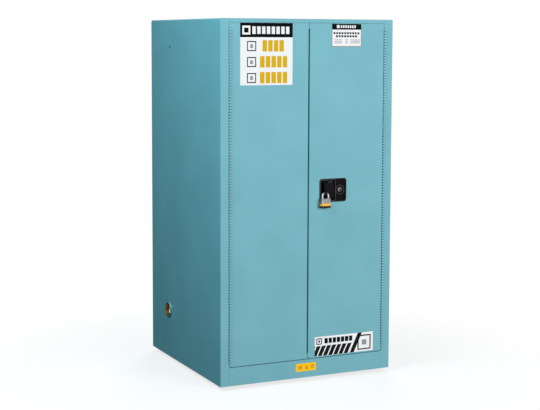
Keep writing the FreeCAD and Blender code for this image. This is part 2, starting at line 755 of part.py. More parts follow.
def make_shelf(label, top):
    """Galvanised shelf: a dished sheet with a raised rim at its edges and turned-down lips."""
    full = shelf_block("0", top + " - shelf_lip", top)
    hollow = shelf_block("metal", top + " - shelf_lip - 1", top + " - shelf_dish - metal")
    dish = shelf_block("shelf_rim", top + " - shelf_dish", top + " + 1")
    under = shelf_block("metal", top + " - shelf_dish - metal - 0.001", top + " - metal")
    dish_wall = shelf_block("shelf_rim - metal", top + " - shelf_dish - metal - 0.002",
                            top + " - metal + 0.001")
    return keep(cut(full, hollow, dish, cut(under, dish_wall)), label)


def make_sump_tray():
    """Moulded tray that stands in the sump pan."""
    outer = pad("2 * opening - 30", "inner_back_face - stop - 20", "20", "42",
                "0", "(inner_back_face + stop) / 2", "sump_floor + pan_metal")
    inner = pad("2 * opening - 30 - 2 * tray_wall", "inner_back_face - stop - 20 - 2 * tray_wall",
                "20 - tray_wall", "42", "0", "(inner_back_face + stop) / 2",
                "sump_floor + pan_metal + tray_wall")
    return keep(cut(outer, inner), "sump_tray")


# Doors: an outer skin folded back along its edges, an inner skin and a stiffening channel
def rounded_corners(plate, sign, near_words, far_words, radius, raised=0):
    """Round a door sheet's bottom corners; the left door's meeting corner stays square."""
    far_x = sign * number_of(far_words)
    near_x = sign * number_of(near_words)
    chosen = (far_x, near_x) if sign > 0 else (far_x,)
    low = at("door_bottom") + raised
    return rounded(plate, (radius, lambda edge, middle: (
        runs_along(edge, 1) and near(middle.z, low) and any(near(middle.x, x) for x in chosen))))


def make_outer_skin(side_name, sign):
    """Face sheet with rounded corners, slots at both edges and four folded walls."""
    face = block(side_span(sign, "ear_gap / 2", "opening - 0.5"), ("front", "front + metal"),
                 ("door_bottom", "door_top"))
    face = rounded_corners(face, sign, "ear_gap / 2", "opening - 0.5", dim("corner"))
    front_edge = at("front")
    hinge_slot = block(side_span(sign, "door_edge", "opening"), ("front - 1", "front + 5"),
                       ("hinge_low - 2", "hinge_high + 2"))
    meeting_slot = block(side_span(sign, "0", "meeting"), ("front - 1", "front + 5"),
                         ("door_bottom + ear_end", "door_top - ear_start"))
    ring = block(side_span(sign, "meeting", "door_edge"), ("front + 0.5", "door_back - metal"),
                 ("door_bottom", "door_top"))
    ring = rounded_corners(ring, sign, "meeting", "door_edge", dim("corner") - 2)
    hollow = block(side_span(sign, "meeting + metal", "door_edge - metal"),
                   ("front", "door_back"), ("door_bottom + metal", "door_top - metal"))
    hollow = rounded_corners(hollow, sign, "meeting + metal", "door_edge - metal",
                             dim("corner") - 2 - dim("metal"), dim("metal"))
    skin = fuse(cut(face, hinge_slot, meeting_slot), cut(ring, hollow))
    skin = rounded(skin, (0.8, lambda edge, middle: near(middle.y, front_edge)))
    holes = []
    if sign > 0:
        holes.append(round_bar("bullet_radius + 0.7", "upper_rod_x", "latch_y", "door_top - 8", "10"))
        holes.append(round_bar("bullet_radius + 0.7", "lower_rod_x", "latch_y", "door_bottom - 2", "10"))
        holes.append(round_bar("bullet_radius + 0.7", "meeting - 2", "bolt_y", "bolt_z", "8", ALONG_X))
        opening = pad("handle_width - 8", "handle_tall - 8", "9", "20",
                      "handle_middle", "front - 10", "handle_height", ALONG_Y)
        holes.append(opening)
    else:
        holes.append(round_bar("bullet_radius + 0.7", "-upper_rod_x", "latch_y", "door_top - 8", "10"))
        holes.append(round_bar("bullet_radius + 0.7", "-upper_rod_x", "latch_y", "door_bottom - 2", "10"))
        holes.append(round_bar("bullet_radius + 0.7", "-meeting - 6", "bolt_y", "bolt_z", "8", ALONG_X))
    return keep(cut(skin, *holes), side_name + "_door_outer_skin")


def make_inner_skin(side_name, sign):
    """Back sheet of a door, with a pressed panel that stiffens it."""
    sheet_part = block(side_span(sign, "meeting", "door_edge"), ("door_back - metal", "door_back"),
                       ("door_bottom", "door_top"))
    sheet_part = rounded_corners(sheet_part, sign, "meeting", "door_edge", dim("corner") - 2)
    panel = block(side_span(sign, "meeting + 38", "door_edge - 38"), ("door_back - 0.5", "door_back + 1.6"),
                  ("door_bottom + 90", "door_top - 90"))
    whole = fuse(sheet_part, panel)
    middle_y = at("door_back") + 1.6
    whole = rounded(whole, (1.2, lambda edge, middle: near(middle.y, middle_y)))
    if sign > 0:
        return keep(whole, "right_door_inner_skin")
    high_slot = block(("-upper_rod_x - 5", "-upper_rod_x + 5"), ("door_back - 5", "door_back + 5"),
                      ("door_top - 74", "door_top - 40"))
    low_slot = block(("-upper_rod_x - 5", "-upper_rod_x + 5"), ("door_back - 5", "door_back + 5"),
                     ("door_bottom + 40", "door_bottom + 74"))
    return keep(cut(whole, high_slot, low_slot), "left_door_inner_skin")


def make_door_channel(side_name, sign):
    """Upright channel inside a door, against both skins."""
    span_low = "door_edge - 120"
    full = block(side_span(sign, span_low, span_low + " + 35"), ("front + metal", "door_back - metal"),
                 ("door_bottom + 60", "door_top - 60"))
    hollow = block(side_span(sign, span_low + " + metal", span_low + " + 36"),
                   ("front + 2 * metal", "door_back - 2 * metal"), ("door_bottom", "door_top"))
    return keep(cut(full, hollow), side_name + "_door_channel")


def make_left_door_bolt(label, tip_words, direction):
    """Flush bolt with a thumb tab that comes out through the inner skin."""
    length = 66
    start = tip_words + (" - %d" % length if direction > 0 else "")
    shank = round_bar("bullet_radius", "-upper_rod_x", "latch_y", start, str(length))
    tab_low = tip_words + (" - 64" if direction > 0 else " + 52")
    tab = block(("-upper_rod_x - 4", "-upper_rod_x + 4"), ("latch_y", "door_back + 1.6"),
                (tab_low, tab_low + " + 12"))
    return keep(fuse(shank, tab), label)


def make_frame_strikes():
    """Striker plates behind the rail and under the sill's top, for rods and bolts."""
    plates = []
    spots = (("upper_rod_x", "rail_bottom + metal"), ("-upper_rod_x", "rail_bottom + metal"),
             ("lower_rod_x", "sill_top - metal - 1.5"), ("-upper_rod_x", "sill_top - metal - 1.5"))
    for x, z in spots:
        plate = block((x + " - 15", x + " + 15"), ("latch_y - 12", "latch_y + 12"), (z, z + " + 1.5"))
        hole = round_bar("bullet_radius + 0.7", x, "latch_y", z + " - 1", "4")
        plates.append(cut(plate, hole))
    return keep(fuse(*plates), "frame_strikes")


# Handle: a recessed housing with the paddle on the left and the lock on the right
def make_handle_housing():
    """Moulded cup behind a rounded rim, with a shallow bay around the lock cylinder."""
    bay_z = ("handle_height - bay_half", "handle_height + bay_half")
    front_face = at("front") - dim("rim_thick")
    rim = pad("handle_width", "handle_tall", "12", "rim_thick", "handle_middle", "front - rim_thick",
              "handle_height", ALONG_Y)
    cup = pad("handle_width - 10", "handle_tall - 10", "8", "bay_depth + 2.5", "handle_middle",
              "front - 0.5", "handle_height", ALONG_Y)
    whole = rounded(fuse(rim, cup), (0.9, lambda edge, middle: near(middle.y, front_face)))
    paddle_bay = block(("handle_middle - 62", "handle_middle + 10.7"), ("front - 5", "front + bay_depth"),
                       bay_z)
    paddle_bay = rounded(paddle_bay, (5, lambda edge, middle: (
        runs_along(edge, 1) and middle.x < dim("handle_middle") - 50)))
    lock_bay = block(("handle_middle + 13", "handle_middle + 63"), ("front - 5", "front + 1"), bay_z)
    lock_bay = rounded(lock_bay, (5, lambda edge, middle: runs_along(edge, 1)))
    ring = cut(round_bar("24", "cylinder_across", "front - 1", "cylinder_height", "3", ALONG_Y),
               round_bar("19", "cylinder_across", "front - 3", "cylinder_height", "4.5", ALONG_Y))
    tail_slot = block(("pivot_across - 17", "pivot_across + 5"), ("front + 10", "front + 20"),
                      ("disc_height + 8", "disc_height + 21"))
    barrel_hole = round_bar("barrel_radius", "cylinder_across", "front - 5", "cylinder_height", "30",
                            ALONG_Y)
    cupped = cut(whole, paddle_bay, lock_bay, tail_slot)
    return keep(cut(fuse(cupped, ring), barrel_hole), "handle_housing")


def make_paddle_pin():
    """Pivot pin between the floor and the roof of the housing's bay."""
    pin = round_bar("pivot_pin", "pivot_across", "pivot_y", "handle_height - bay_half", "2 * bay_half")
    return keep(pin, "paddle_pin")


def make_paddle():
    """Paddle: plate, pivot barrel, grip lip with the padlock eye, and the tail behind."""
    low = "handle_height - 35.3"
    high = "handle_height + 35.7"
    left = "lock_across - 2"
    plate = block((left, "pivot_across + 3"), ("front - 0.5", "front + 4.5"), (low, high))
    lip_x = (left, left + " + lip_thick")
    lip = block(lip_x, ("front - 7", "front + 4.5"), ("lock_top + 4", high))
    barrel = round_bar("5", "pivot_across", "pivot_y", low, "(%s) - (%s)" % (high, low))
    eye = round_bar("eye_radius + 3", left, "lock_y", "eye_z", "lip_thick", ALONG_X)
    web = block(lip_x, ("lock_y", "front"), ("eye_z - eye_radius - 3", "eye_z + eye_radius + 3"))
    hole = round_bar("eye_radius", "lock_across - 6", "lock_y", "eye_z", "12", ALONG_X)
    tail = block(("pivot_across - 2.5", "pivot_across + 2.5"), ("pivot_y", "front + 25.5"),
                 ("disc_height + 10", "disc_height + disc_throw"))
    bore = round_bar("pivot_pin + running", "pivot_across", "pivot_y", "handle_height - 50", "100")
    whole = cut(fuse(plate, lip, barrel, eye, web, tail), hole, bore)
    return keep(whole, "paddle")


def make_lock_cylinder():
    """Fixed cylinder with a bright flange, bored for the key plug."""
    barrel = round_bar("barrel_radius", "cylinder_across", "front - 2", "cylinder_height", "26", ALONG_Y)
    flange = round_bar("barrel_radius + 2.5", "cylinder_across", "front - 3", "cylinder_height", "2",
                       ALONG_Y)
    whole = fuse(barrel, flange)
    flange_front = at("front") - 3
    whole = rounded(whole, (0.8, lambda edge, middle: near(middle.y, flange_front)))
    bore = round_bar("plug_radius + running", "cylinder_across", "front - 5", "cylinder_height", "35",
                     ALONG_Y)
    return keep(cut(whole, bore), "lock_cylinder")


def make_key_plug():
    """Turning plug with its keyway, and the cam behind it."""
    plug = round_bar("plug_radius", "cylinder_across", "front - 3.2", "cylinder_height", "28.4", ALONG_Y)
    keyway = block(("cylinder_across - 0.8", "cylinder_across + 0.8"), ("front - 4", "front + 8"),
                   ("cylinder_height - 4", "cylinder_height + 4"))
    cam = block(("cylinder_across - 4", "cylinder_across + 4"), ("front + 24.2", "front + 25.2"),
                ("cylinder_height - 14.5", "cylinder_height + 4"))
    return keep(fuse(cut(plug, keyway), cam), "key_plug")


# Latch: a disc on a back plate moves two upright rods and the centre bolt
def make_latch_backplate():
    """Plate on the inner skin with the stud that carries the disc."""
    plate = block(("disc_across - 32", "disc_across + 32"),
                  ("door_back - metal - 1.8", "door_back - metal"),
                  ("disc_height - 32", "disc_height + 32"))
    stud = round_bar("disc_stud", "disc_across", "front + 24.5", "disc_height",
                     "door_thick - metal - 25", ALONG_Y)
    return keep(fuse(plate, stud), "latch_backplate")


def make_latch_disc():
    """Disc with a pin for the paddle, for each rod and, behind it, for the centre bolt."""
    disc = round_bar("22", "disc_across", "front + 26", "disc_height", "3", ALONG_Y)
    pins = []
    for x, z in (("disc_across", "disc_height + disc_throw"), ("disc_across - disc_throw", "disc_height"),
                 ("disc_across + disc_throw", "disc_height")):
        pins.append(round_bar("disc_pin", x, "front + 19", z, "7.5", ALONG_Y))
    pins.append(round_bar("disc_pin", "disc_across", "front + 28.5", "bolt_z", "6", ALONG_Y))
    bore = round_bar("disc_stud + running", "disc_across", "front + 20", "disc_height", "15", ALONG_Y)
    return keep(cut(fuse(disc, *pins), bore), "latch_disc")


def upright_socket(x, tube_low, bore_low):
    """Tube at the end of an upright rod and its blind bore, which guides the bullet."""
    tube = round_bar("socket_radius", x, "latch_y", tube_low, "44")
    bore = round_bar("bullet_radius + running", x, "latch_y", bore_low, "37")
    return tube, bore


def make_upper_rod():
    """Flat rod from the disc's left pin up to the socket at the top of the door."""
    slot = block(("disc_across - disc_throw - pin_play", "disc_across - 10"), ("front + 19", "front + 26"),
                 ("disc_height - pin_play", "disc_height + pin_play"))
    hook = block(("disc_across - disc_throw - 7.6", "disc_across - 7.6"), ("rod_front", "rod_back"),
                 ("disc_height - 8", "disc_height + 8"))
    bar = block(("upper_rod_x - 5", "upper_rod_x + 5"), ("rod_front", "rod_back"),
                ("disc_height - 8", "door_top - 62"))
    tube, bore = upright_socket("upper_rod_x", "door_top - 66", "door_top - 58")
    return keep(cut(fuse(cut(fuse(hook, bar), slot), tube), bore), "upper_latch_rod")


def make_lower_rod():
    """Flat rod from the disc's right pin down to the socket at the bottom of the door."""
    slot = block(("disc_across + 10", "disc_across + disc_throw + pin_play"), ("front + 19", "front + 26"),
                 ("disc_height - pin_play", "disc_height + pin_play"))
    hook = block(("disc_across + 8.1", "lower_rod_x + 3"), ("rod_front", "rod_back"),
                 ("disc_height - 8", "disc_height + 8"))
    bar = block(("lower_rod_x - 3", "lower_rod_x + 3"), ("rod_front", "rod_back"),
                ("door_bottom + 62", "disc_height + 8"))
    tube, bore = upright_socket("lower_rod_x", "door_bottom + 22", "door_bottom + 21")
    return keep(cut(fuse(cut(fuse(hook, bar), slot), tube), bore), "lower_latch_rod")


def make_centre_bolt():
    """Flat bar from the disc's lower pin to the socket at the door's meeting edge."""
    slot = block(("disc_across - pin_play", "disc_across + pin_play"), ("front + 28", "front + 36"),
                 ("bolt_z - pin_play", "bolt_z + 8.1"))
    bar = block(("meeting + 40", "disc_across + 7"), ("bolt_y - rod_thick / 2", "bolt_y + rod_thick / 2"),
                ("bolt_z - 5.5", "bolt_z + 10"))
    tube = round_bar("socket_radius", "meeting + 5", "bolt_y", "bolt_z", "40", ALONG_X)
    bore = round_bar("bullet_radius + running", "meeting + 4", "bolt_y", "bolt_z", "35", ALONG_X)
    return keep(cut(fuse(cut(bar, slot), tube), bore), "centre_bolt")


def bullet(x, y, z, turn, length="40"):
    """Round-nosed latch bullet, its nose at the given point and its shank behind it."""
    profile = (("0", "0"), ("2.4", "0.4"), ("3.8", "1.6"), ("bullet_radius", "3.6"),
               ("bullet_radius", length), ("0", length))
    return turned(profile, x, y, z, turn)


def make_bullets():
    """Three bullets, each flush with its door edge and pushed out by its spring."""
    keep(bullet("upper_rod_x", "latch_y", "door_top + 0.6", ALONG_MINUS_Z, "52"), "upper_bullet")
    keep(bullet("lower_rod_x", "latch_y", "door_bottom - 0.6", ALONG_Z, "52"), "lower_bullet")
    keep(bullet("0.5", "bolt_y", "bolt_z", ALONG_X, "32"), "centre_bullet")


def make_rod_guides():
    """Blocks on the inner skin that guide the two rods and the centre bolt."""
    guides = []
    for x, half_width, heights in (
            ("upper_rod_x", "5.4", ("disc_height + 116", "door_top - 132")),
            ("lower_rod_x", "3.4", ("disc_height - 204", "door_bottom + 110"))):
        for z in heights:
            full = block((x + " - 12", x + " + 12"), ("rod_front - 2.5", "door_back - metal"),
                         (z, z + " + 20"))
            way = block((x + " - " + half_width, x + " + " + half_width),
                        ("rod_front - 0.4", "rod_back + 0.4"), (z + " - 1", z + " + 21"))
            guides.append(cut(full, way))
    bolt_full = block(("meeting + 60", "meeting + 74"), ("bolt_y - 6", "door_back - metal"),
                      ("bolt_z - 11", "bolt_z + 16"))
    bolt_way = block(("meeting + 59", "meeting + 75"), ("bolt_y - 1.9", "bolt_y + 1.9"),
                     ("bolt_z - 5.9", "bolt_z + 10.4"))
    guides.append(cut(bolt_full, bolt_way))
    return keep(fuse(*guides), "rod_guides")


# Padlock: shackle through the paddle's eye, laminated body and a bumper band
def make_shackle():
    """Bent rod with one long leg that stays in the body and one short leg."""
    arch_z = "shackle_height - shackle_bend"
    arch = doc.addObject("Part::Torus", "arch")
    arch.setExpression("Radius1", bound("shackle_bend"))
    arch.setExpression("Radius2", bound("shackle_radius"))
    arch.Angle3 = 180
    put(arch, "lock_across", "lock_y", arch_z, FreeCAD.Rotation(FreeCAD.Vector(1, 0, 0), 90))
    long_leg = round_bar("shackle_radius", "lock_across - shackle_bend", "lock_y", "lock_top - 25",
                         "%s - lock_top + 25" % arch_z)
    short_leg = round_bar("shackle_radius", "lock_across + shackle_bend", "lock_y", "lock_top - 8",
                          "%s - lock_top + 8" % arch_z)
    return keep(fuse(arch, long_leg, short_leg), "padlock_shackle")


def rounded_slab(half_width, half_thick, low, high, radius):
    """Upright slab around the padlock's middle, with its four upright edges rounded."""
    corner = FreeCAD.Vector(dim("lock_across") - half_width, at("lock_y") - half_thick - 0.2, low)
    slab = Part.makeBox(2 * half_width, 2 * half_thick, high - low, corner)
    upright = [edge for edge in slab.Edges if abs(edge.tangentAt(edge.FirstParameter).z) > 0.9]
    return slab.makeFillet(radius, upright)


def make_padlock_body():
    """Body of stacked plates around a slightly smaller core, with holes for the legs."""
    top = at("lock_top")
    half_width = dim("lock_half_width")
    half_thick = dim("lock_half_thick")
    low = top - dim("lock_tall")
    plate_count = 12
    pitch = dim("lock_tall") / plate_count
    groove = 0.7
    core = rounded_slab(half_width - groove, half_thick - groove, low, top, 5.3)
    plates = []
    for index in range(plate_count):
        start = low + index * pitch
        plates.append(rounded_slab(half_width, half_thick, start + groove / 2,
                                   start + pitch - groove / 2, 6))
    stack = core.multiFuse(plates)
    for sign, reach in ((-1, 36), (1, 14)):
        x = dim("lock_across") + sign * dim("shackle_bend")
        hole = Part.makeCylinder(dim("shackle_radius") + 0.08, reach + 1,
                                 FreeCAD.Vector(x, at("lock_y"), top - reach))
        stack = stack.cut(hole)
    return shape_piece("padlock_body", stack.removeSplitter())


def make_padlock_bumper():
    """Soft band around the lower part of the padlock body."""
    low = at("lock_top") - 32.2
    high = low + 10.4
    half_width = dim("lock_half_width")
    half_thick = dim("lock_half_thick")
    outer = rounded_slab(half_width + 1.4, half_thick + 1, low, high, 7.4)
    inner = rounded_slab(half_width, half_thick, low - 1, high + 1, 6)
    return shape_piece("padlock_bumper", outer.cut(inner))


for side, direction in SIDES:
    make_outer_side(direction)
    make_inner_side(side, direction)
    make_vent_sleeve(side, direction)
    make_vent_plug(side, direction)
    make_outer_skin(side, direction)
    make_inner_skin(side, direction)
    make_door_channel(side, direction)
make_outer_top()
make_front_sill()
make_outer_bottom()
make_outer_back()
make_inner_back()
make_inner_top()
make_sump_pan()
make_wall_channels()
make_vent_screens()
make_side_button()
make_ground_stud()
for foot_name, foot_x, foot_y in foot_spots():
    make_foot(foot_name, foot_x, foot_y)
make_foot_nuts()
make_hinges()
make_shelf_standards()
make_shelf_brackets()
make_shelf("upper_shelf", "shelf_high")
make_shelf("lower_shelf", "shelf_low")
make_sump_tray()
make_left_door_bolt("left_door_upper_bolt", "door_top + 0.6", 1)
make_left_door_bolt("left_door_lower_bolt", "door_bottom - 0.6", -1)
make_frame_strikes()
make_handle_housing()
make_paddle_pin()
make_paddle()
make_lock_cylinder()
make_key_plug()
make_latch_backplate()
make_latch_disc()
make_upper_rod()
make_lower_rod()
make_centre_bolt()
make_bullets()
make_rod_guides()
make_shackle()
make_padlock_body()
make_padlock_bumper()

# Check the document, then write one file for each sub-part
doc.recompute()
for item in doc.Objects:
    if "Invalid" in item.State or "Error" in item.State:
        raise RuntimeError("%s failed: %s" % (item.Label, item.State))
for item in nodes:
    if item.Shape.isNull() or not item.Shape.isValid():
        raise RuntimeError(item.Label + " has no valid shape")
    if not item.Shape.Solids:
        raise RuntimeError(item.Label + " has no solid")
for item in nodes:
    item.Shape.exportStep("parts/%s.step" % item.Label)
    print("%-26s solids %2d  volume %12.1f" % (item.Label, len(item.Shape.Solids), item.Shape.Volume))
print("sub-parts:", len(nodes))
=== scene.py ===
# %% [markdown]
# # A two-door safety cabinet
# The real object is a double-walled steel case for bottles of corrosive liquids, painted
# blue-green, with a paddle handle, a padlock, vents, shelves and a sump. Its solids come from the
# CAD model, already at full size. This script gives them their finishes, adds the thin pieces that
# CAD leaves out, and sets up the studio. Lengths are in metres, X to the right, Y to the back.

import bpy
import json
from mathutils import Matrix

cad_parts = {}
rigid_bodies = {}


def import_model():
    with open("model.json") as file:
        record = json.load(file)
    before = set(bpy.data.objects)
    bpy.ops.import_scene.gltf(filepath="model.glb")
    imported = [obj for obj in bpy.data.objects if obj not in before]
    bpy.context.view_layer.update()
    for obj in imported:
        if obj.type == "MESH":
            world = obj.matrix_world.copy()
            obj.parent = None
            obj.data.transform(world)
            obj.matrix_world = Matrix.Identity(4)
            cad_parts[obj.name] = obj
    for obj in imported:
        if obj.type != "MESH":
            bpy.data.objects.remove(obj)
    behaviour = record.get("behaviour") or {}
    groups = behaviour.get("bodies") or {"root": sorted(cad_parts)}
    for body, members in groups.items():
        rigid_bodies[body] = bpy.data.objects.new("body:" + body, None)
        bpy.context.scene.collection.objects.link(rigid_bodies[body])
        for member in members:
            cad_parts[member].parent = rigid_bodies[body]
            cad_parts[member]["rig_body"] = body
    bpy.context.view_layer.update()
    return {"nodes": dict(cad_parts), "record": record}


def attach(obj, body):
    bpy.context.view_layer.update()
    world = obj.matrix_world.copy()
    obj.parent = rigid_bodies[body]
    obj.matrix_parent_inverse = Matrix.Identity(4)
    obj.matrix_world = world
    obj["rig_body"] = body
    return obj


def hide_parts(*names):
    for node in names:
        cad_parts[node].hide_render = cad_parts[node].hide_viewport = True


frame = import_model()

# %% Libraries and the planes of the case
import json
import math

import bmesh
import bpy
import numpy as np
from mathutils import Matrix, Vector

NODES = frame["nodes"]
MM = 0.001
# Planes of the case: its front and back faces, and its side walls at plus and minus HALF
FRONT, BACK, HALF = -0.425, 0.439, 0.432


def placed(name, data):
    """A new object of this mesh, lamp or camera, in the scene."""
    thing = bpy.data.objects.new(name, data)
    bpy.context.collection.objects.link(thing)
    return thing


# %% [markdown]
# ## The camera
# The photograph was taken from the front left, a little above the middle of the cabinet. Its place
# was found by matching the six visible corners of the case. The lens is long, so upright edges stay
# nearly parallel. The picture was cropped below its middle, which a small vertical shift repeats.

# %% Aim the camera
CAMERA_PLACE = (-2.64617, -5.59476, 1.55796)
YAW = math.radians(-25.389)
PITCH = math.radians(5.538)
ROLL = math.radians(0.208)
FOCAL_PIXELS = 1292.358
PICTURE_WIDTH = 540
PICTURE_MIDDLE_ROW = 205
OPTICAL_ROW = 165

backward = np.array((math.sin(YAW) * math.cos(PITCH), -math.cos(YAW) * math.cos(PITCH), math.sin(PITCH)))
rightward = np.cross(-backward, (0, 0, 1))
rightward /= np.linalg.norm(rightward)
upward = np.cross(rightward, -backward)
turned_right = rightward * math.cos(ROLL) + upward * math.sin(ROLL)
turned_up = -rightward * math.sin(ROLL) + upward * math.cos(ROLL)

camera_data = bpy.data.cameras.new("camera")
camera_data.sensor_width = 36
camera_data.lens = FOCAL_PIXELS * camera_data.sensor_width / PICTURE_WIDTH
camera_data.shift_y = (OPTICAL_ROW - PICTURE_MIDDLE_ROW) / PICTURE_WIDTH
camera = placed("camera", camera_data)
camera.matrix_world = Matrix.Translation(CAMERA_PLACE) @ Matrix(
    np.column_stack((turned_right, turned_up, backward)).tolist()).to_4x4()
bpy.context.scene.camera = camera
print("lens %.1f mm, shift %.3f" % (camera_data.lens, camera_data.shift_y))

# %% [markdown]
# ## Colours and nodes
# Every colour is written as it would be picked on a screen, in sRGB hex, and turned to the linear
# numbers that shaders work in. Another helper adds one node, sets it and links it, so that each
# material below reads as a short list of what it is made of. A texture's scale counts its cells per
# metre, so it is worked out from the width of one cell in millimetres.

# %% Colour and node helpers
def linear(code):
    """sRGB hex to linear RGBA: divide by 12.92 near black, else the power curve of the standard."""
    channels = np.array([int(code[start:start + 2], 16) for start in (1, 3, 5)]) / 255
    curve = np.where(channels <= 0.04045, channels / 12.92, ((channels + 0.055) / 1.055) ** 2.4)
    return (*curve.tolist(), 1.0)


def per_metre(grain):
    """Scale of a texture whose grain is so many millimetres wide."""
    return 1 / (grain * MM)


def connect(node, sockets):
    """Fill a node's inputs with values, sockets or nodes; a node gives its first live output."""
    for name, value in sockets.items():
        if isinstance(value, bpy.types.Node):
            value = next(output for output in value.outputs if output.enabled)
        if isinstance(value, bpy.types.NodeSocket):
            node.id_data.links.new(value, node.inputs[name])
        else:
            node.inputs[name].default_value = value


def add(tree, kind, sockets=None, stops=(), **settings):
    """Add a node: its inputs, its properties, and for a colour ramp its (place, hex colour) stops."""
    node = tree.nodes.new("ShaderNode" + kind)
    for name, value in settings.items():
        setattr(node, name, value)
    for number, (position, code) in enumerate(stops):
        points = node.color_ramp.elements
        point = points[number] if number < 2 else points.new(1.0)
        point.position = position
        point.color = linear(code)
    connect(node, sockets or {})
    return node


def new_material(name, **constants):
    """A material, its tree, its one Principled shader with its constants, and Object coordinates."""
    material = bpy.data.materials.new(name)
    material.use_nodes = True
    tree = material.node_tree
    shader = tree.nodes["Principled BSDF"]
    connect(shader, {socket.replace("_", " "): value for socket, value in constants.items()})
    return material, tree, shader, add(tree, "TexCoord").outputs["Object"]


def seen_directly(tree):
    """1 for the rays of the camera, of reflections and through glass, 0 for those that light things."""
    rays = add(tree, "LightPath").outputs
    either = add(tree, "Math", {0: rays["Is Camera Ray"], 1: rays["Is Glossy Ray"]}, operation="MAXIMUM")
    return add(tree, "Math", {0: either, 1: rays["Is Transmission Ray"]}, operation="MAXIMUM")


print("teal #6AA5B1 in linear numbers:", [round(channel, 3) for channel in linear("#6AA5B1")])

# %% [markdown]
# ## The studio
# A catalogue picture like this one is lit by big soft lamps: one high beside the left wall makes
# the side fall off towards its lower back corner, one in front keeps the doors bright, and one
# behind lights the back for anyone who walks around. Reflections don't see the front lamp, because
# the doors and the lock would mirror it as a grey veil. The strengths are set so that paint turned
# to the front renders about as its colour is written. The white behind the cabinet is made in the
# world and the floor for the camera and for reflections alone, so it adds no light to the paint.

# %% Floor
# The paper's own shade shows near the cabinet and is gone this far from its middle
FLOOR_HALF = 9.0
SHADOW_NEAR, SHADOW_GONE = 0.7, 1.5


def studio_sheet(name, across, along, height):
    """A sheet of quads over a grid of points, which belongs to the studio and not to the part."""
    index = np.arange(across.size).reshape(across.shape)
    quads = np.stack((index[:-1, :-1], index[:-1, 1:], index[1:, 1:], index[1:, :-1]), axis=-1)
    points = np.stack((across, along, height), axis=-1)
    mesh = bpy.data.meshes.new(name)
    mesh.from_pydata(points.reshape(-1, 3).tolist(), [], quads.reshape(-1, 4).tolist())
    sheet = placed(name, mesh)
    return sheet


edge = np.array((-1.0, 1.0)) * FLOOR_HALF
floor = studio_sheet("studio_floor", *np.meshgrid(edge, edge), np.zeros((2, 2)))
floor_paper, tree, shader, place = new_material("matt_white_paper_sweep", Roughness=0.9,
                                                Specular_IOR_Level=0.0)
seen = seen_directly(tree)
paper_tone = add(tree, "Mix", {"Factor": seen, "A": linear("#3B4247"), "B": linear("#FAFAFA")},
                 data_type="RGBA")
connect(shader, {"Base Color": paper_tone})
radius = add(tree, "VectorMath", {0: place}, operation="LENGTH")
far_away = add(tree, "MapRange", {"Value": radius, "From Min": SHADOW_NEAR, "From Max": SHADOW_GONE,
                                  "To Min": 0.74, "To Max": 1.0})
white = add(tree, "Emission", {"Color": (1, 1, 1, 1), "Strength": 1.0})
share = add(tree, "Math", {0: far_away, 1: seen}, operation="MULTIPLY")
blend = add(tree, "MixShader", {"Fac": share, 1: shader, 2: white})
connect(tree.nodes["Material Output"], {"Surface": blend})
floor.data.materials.append(floor_paper)
print("floor of", 2 * FLOOR_HALF, "m")

# %% World
AMBIENT = 0.10
world = bpy.data.worlds.new("studio")
bpy.context.scene.world = world
world.use_nodes = True
tree = world.node_tree
seen = seen_directly(tree)
strength = add(tree, "MapRange", {"Value": seen, "To Min": AMBIENT, "To Max": 1.0})
sky_tone = add(tree, "Mix", {"Factor": seen, "A": (0.66, 1.0, 1.10, 1), "B": (1, 1, 1, 1)},
               data_type="RGBA")
connect(tree.nodes["Background"], {"Color": sky_tone, "Strength": strength})
print("ambient", AMBIENT)


# %% Lamps
def soft_lamp(name, place, target, size, power, tint=(1.0, 1.0, 1.0)):
    """A square area lamp, aimed by pointing its local minus Z at the target."""
    data = bpy.data.lights.new(name, "AREA")
    data.shape = "SQUARE"
    data.size = size
    data.energy = power
    data.color = tint
    lamp = placed(name, data)
    aim = (Vector(target) - Vector(place)).to_track_quat("-Z", "Y")
    lamp.matrix_world = Matrix.Translation(place) @ aim.to_matrix().to_4x4()
    return lamp


soft_lamp("lamp_left", (-2.5, -1.2, 3.0), (-0.4, -1.8, 1.2), size=2.2, power=112, tint=(0.78, 1.0, 1.05))
front_lamp = soft_lamp("lamp_front", (2.2, -6.2, 1.9), (0.0, -0.4, 0.9), size=3.2, power=404,
                       tint=(1.07, 1.0, 0.98))
front_lamp.visible_glossy = False
soft_lamp("lamp_behind", (1.8, 3.4, 2.4), (0.2, 0.3, 0.8), size=2.0, power=120)
bpy.context.scene.view_settings.view_transform = "Standard"
print("three lamps")

# %% [markdown]
# Glossy paint at a slant mirrors whatever stands beyond it, and a white studio would wash the side
# out. Photographers lay a dark drape there. This one is a sheet that lies on the floor beside the
# cabinet and curves up behind it: its height is a smooth step of the distance to the back. Only
# reflections see it.

# %% Dark drape for reflections
DRAPE_LEFT, DRAPE_RIGHT, DRAPE_FRONT, DRAPE_BACK = -7.0, -0.434, -0.8, 3.4
DRAPE_HEIGHT, RISE_FROM = 3.0, 1.6
across, along = np.meshgrid(np.linspace(DRAPE_LEFT, DRAPE_RIGHT, 14),
                            np.linspace(DRAPE_FRONT, DRAPE_BACK, 22))
rise = np.clip((along - RISE_FROM) / (DRAPE_BACK - RISE_FROM), 0, 1)
lift = 2 * MM + DRAPE_HEIGHT * rise ** 2 * (3 - 2 * rise)
drape = studio_sheet("dark_drape", across, along, lift)
drape.visible_camera = drape.visible_diffuse = drape.visible_shadow = drape.visible_transmission = False
drape_cloth, tree, shader, place = new_material("dark_drape_cloth", Roughness=1.0, Specular_IOR_Level=0.0)
folds = add(tree, "TexNoise", {"Vector": place, "Scale": per_metre(500)})
weave = add(tree, "ValToRGB", {"Fac": folds}, stops=((0.3, "#0F2025"), (0.7, "#15292F")))
connect(shader, {"Base Color": weave})
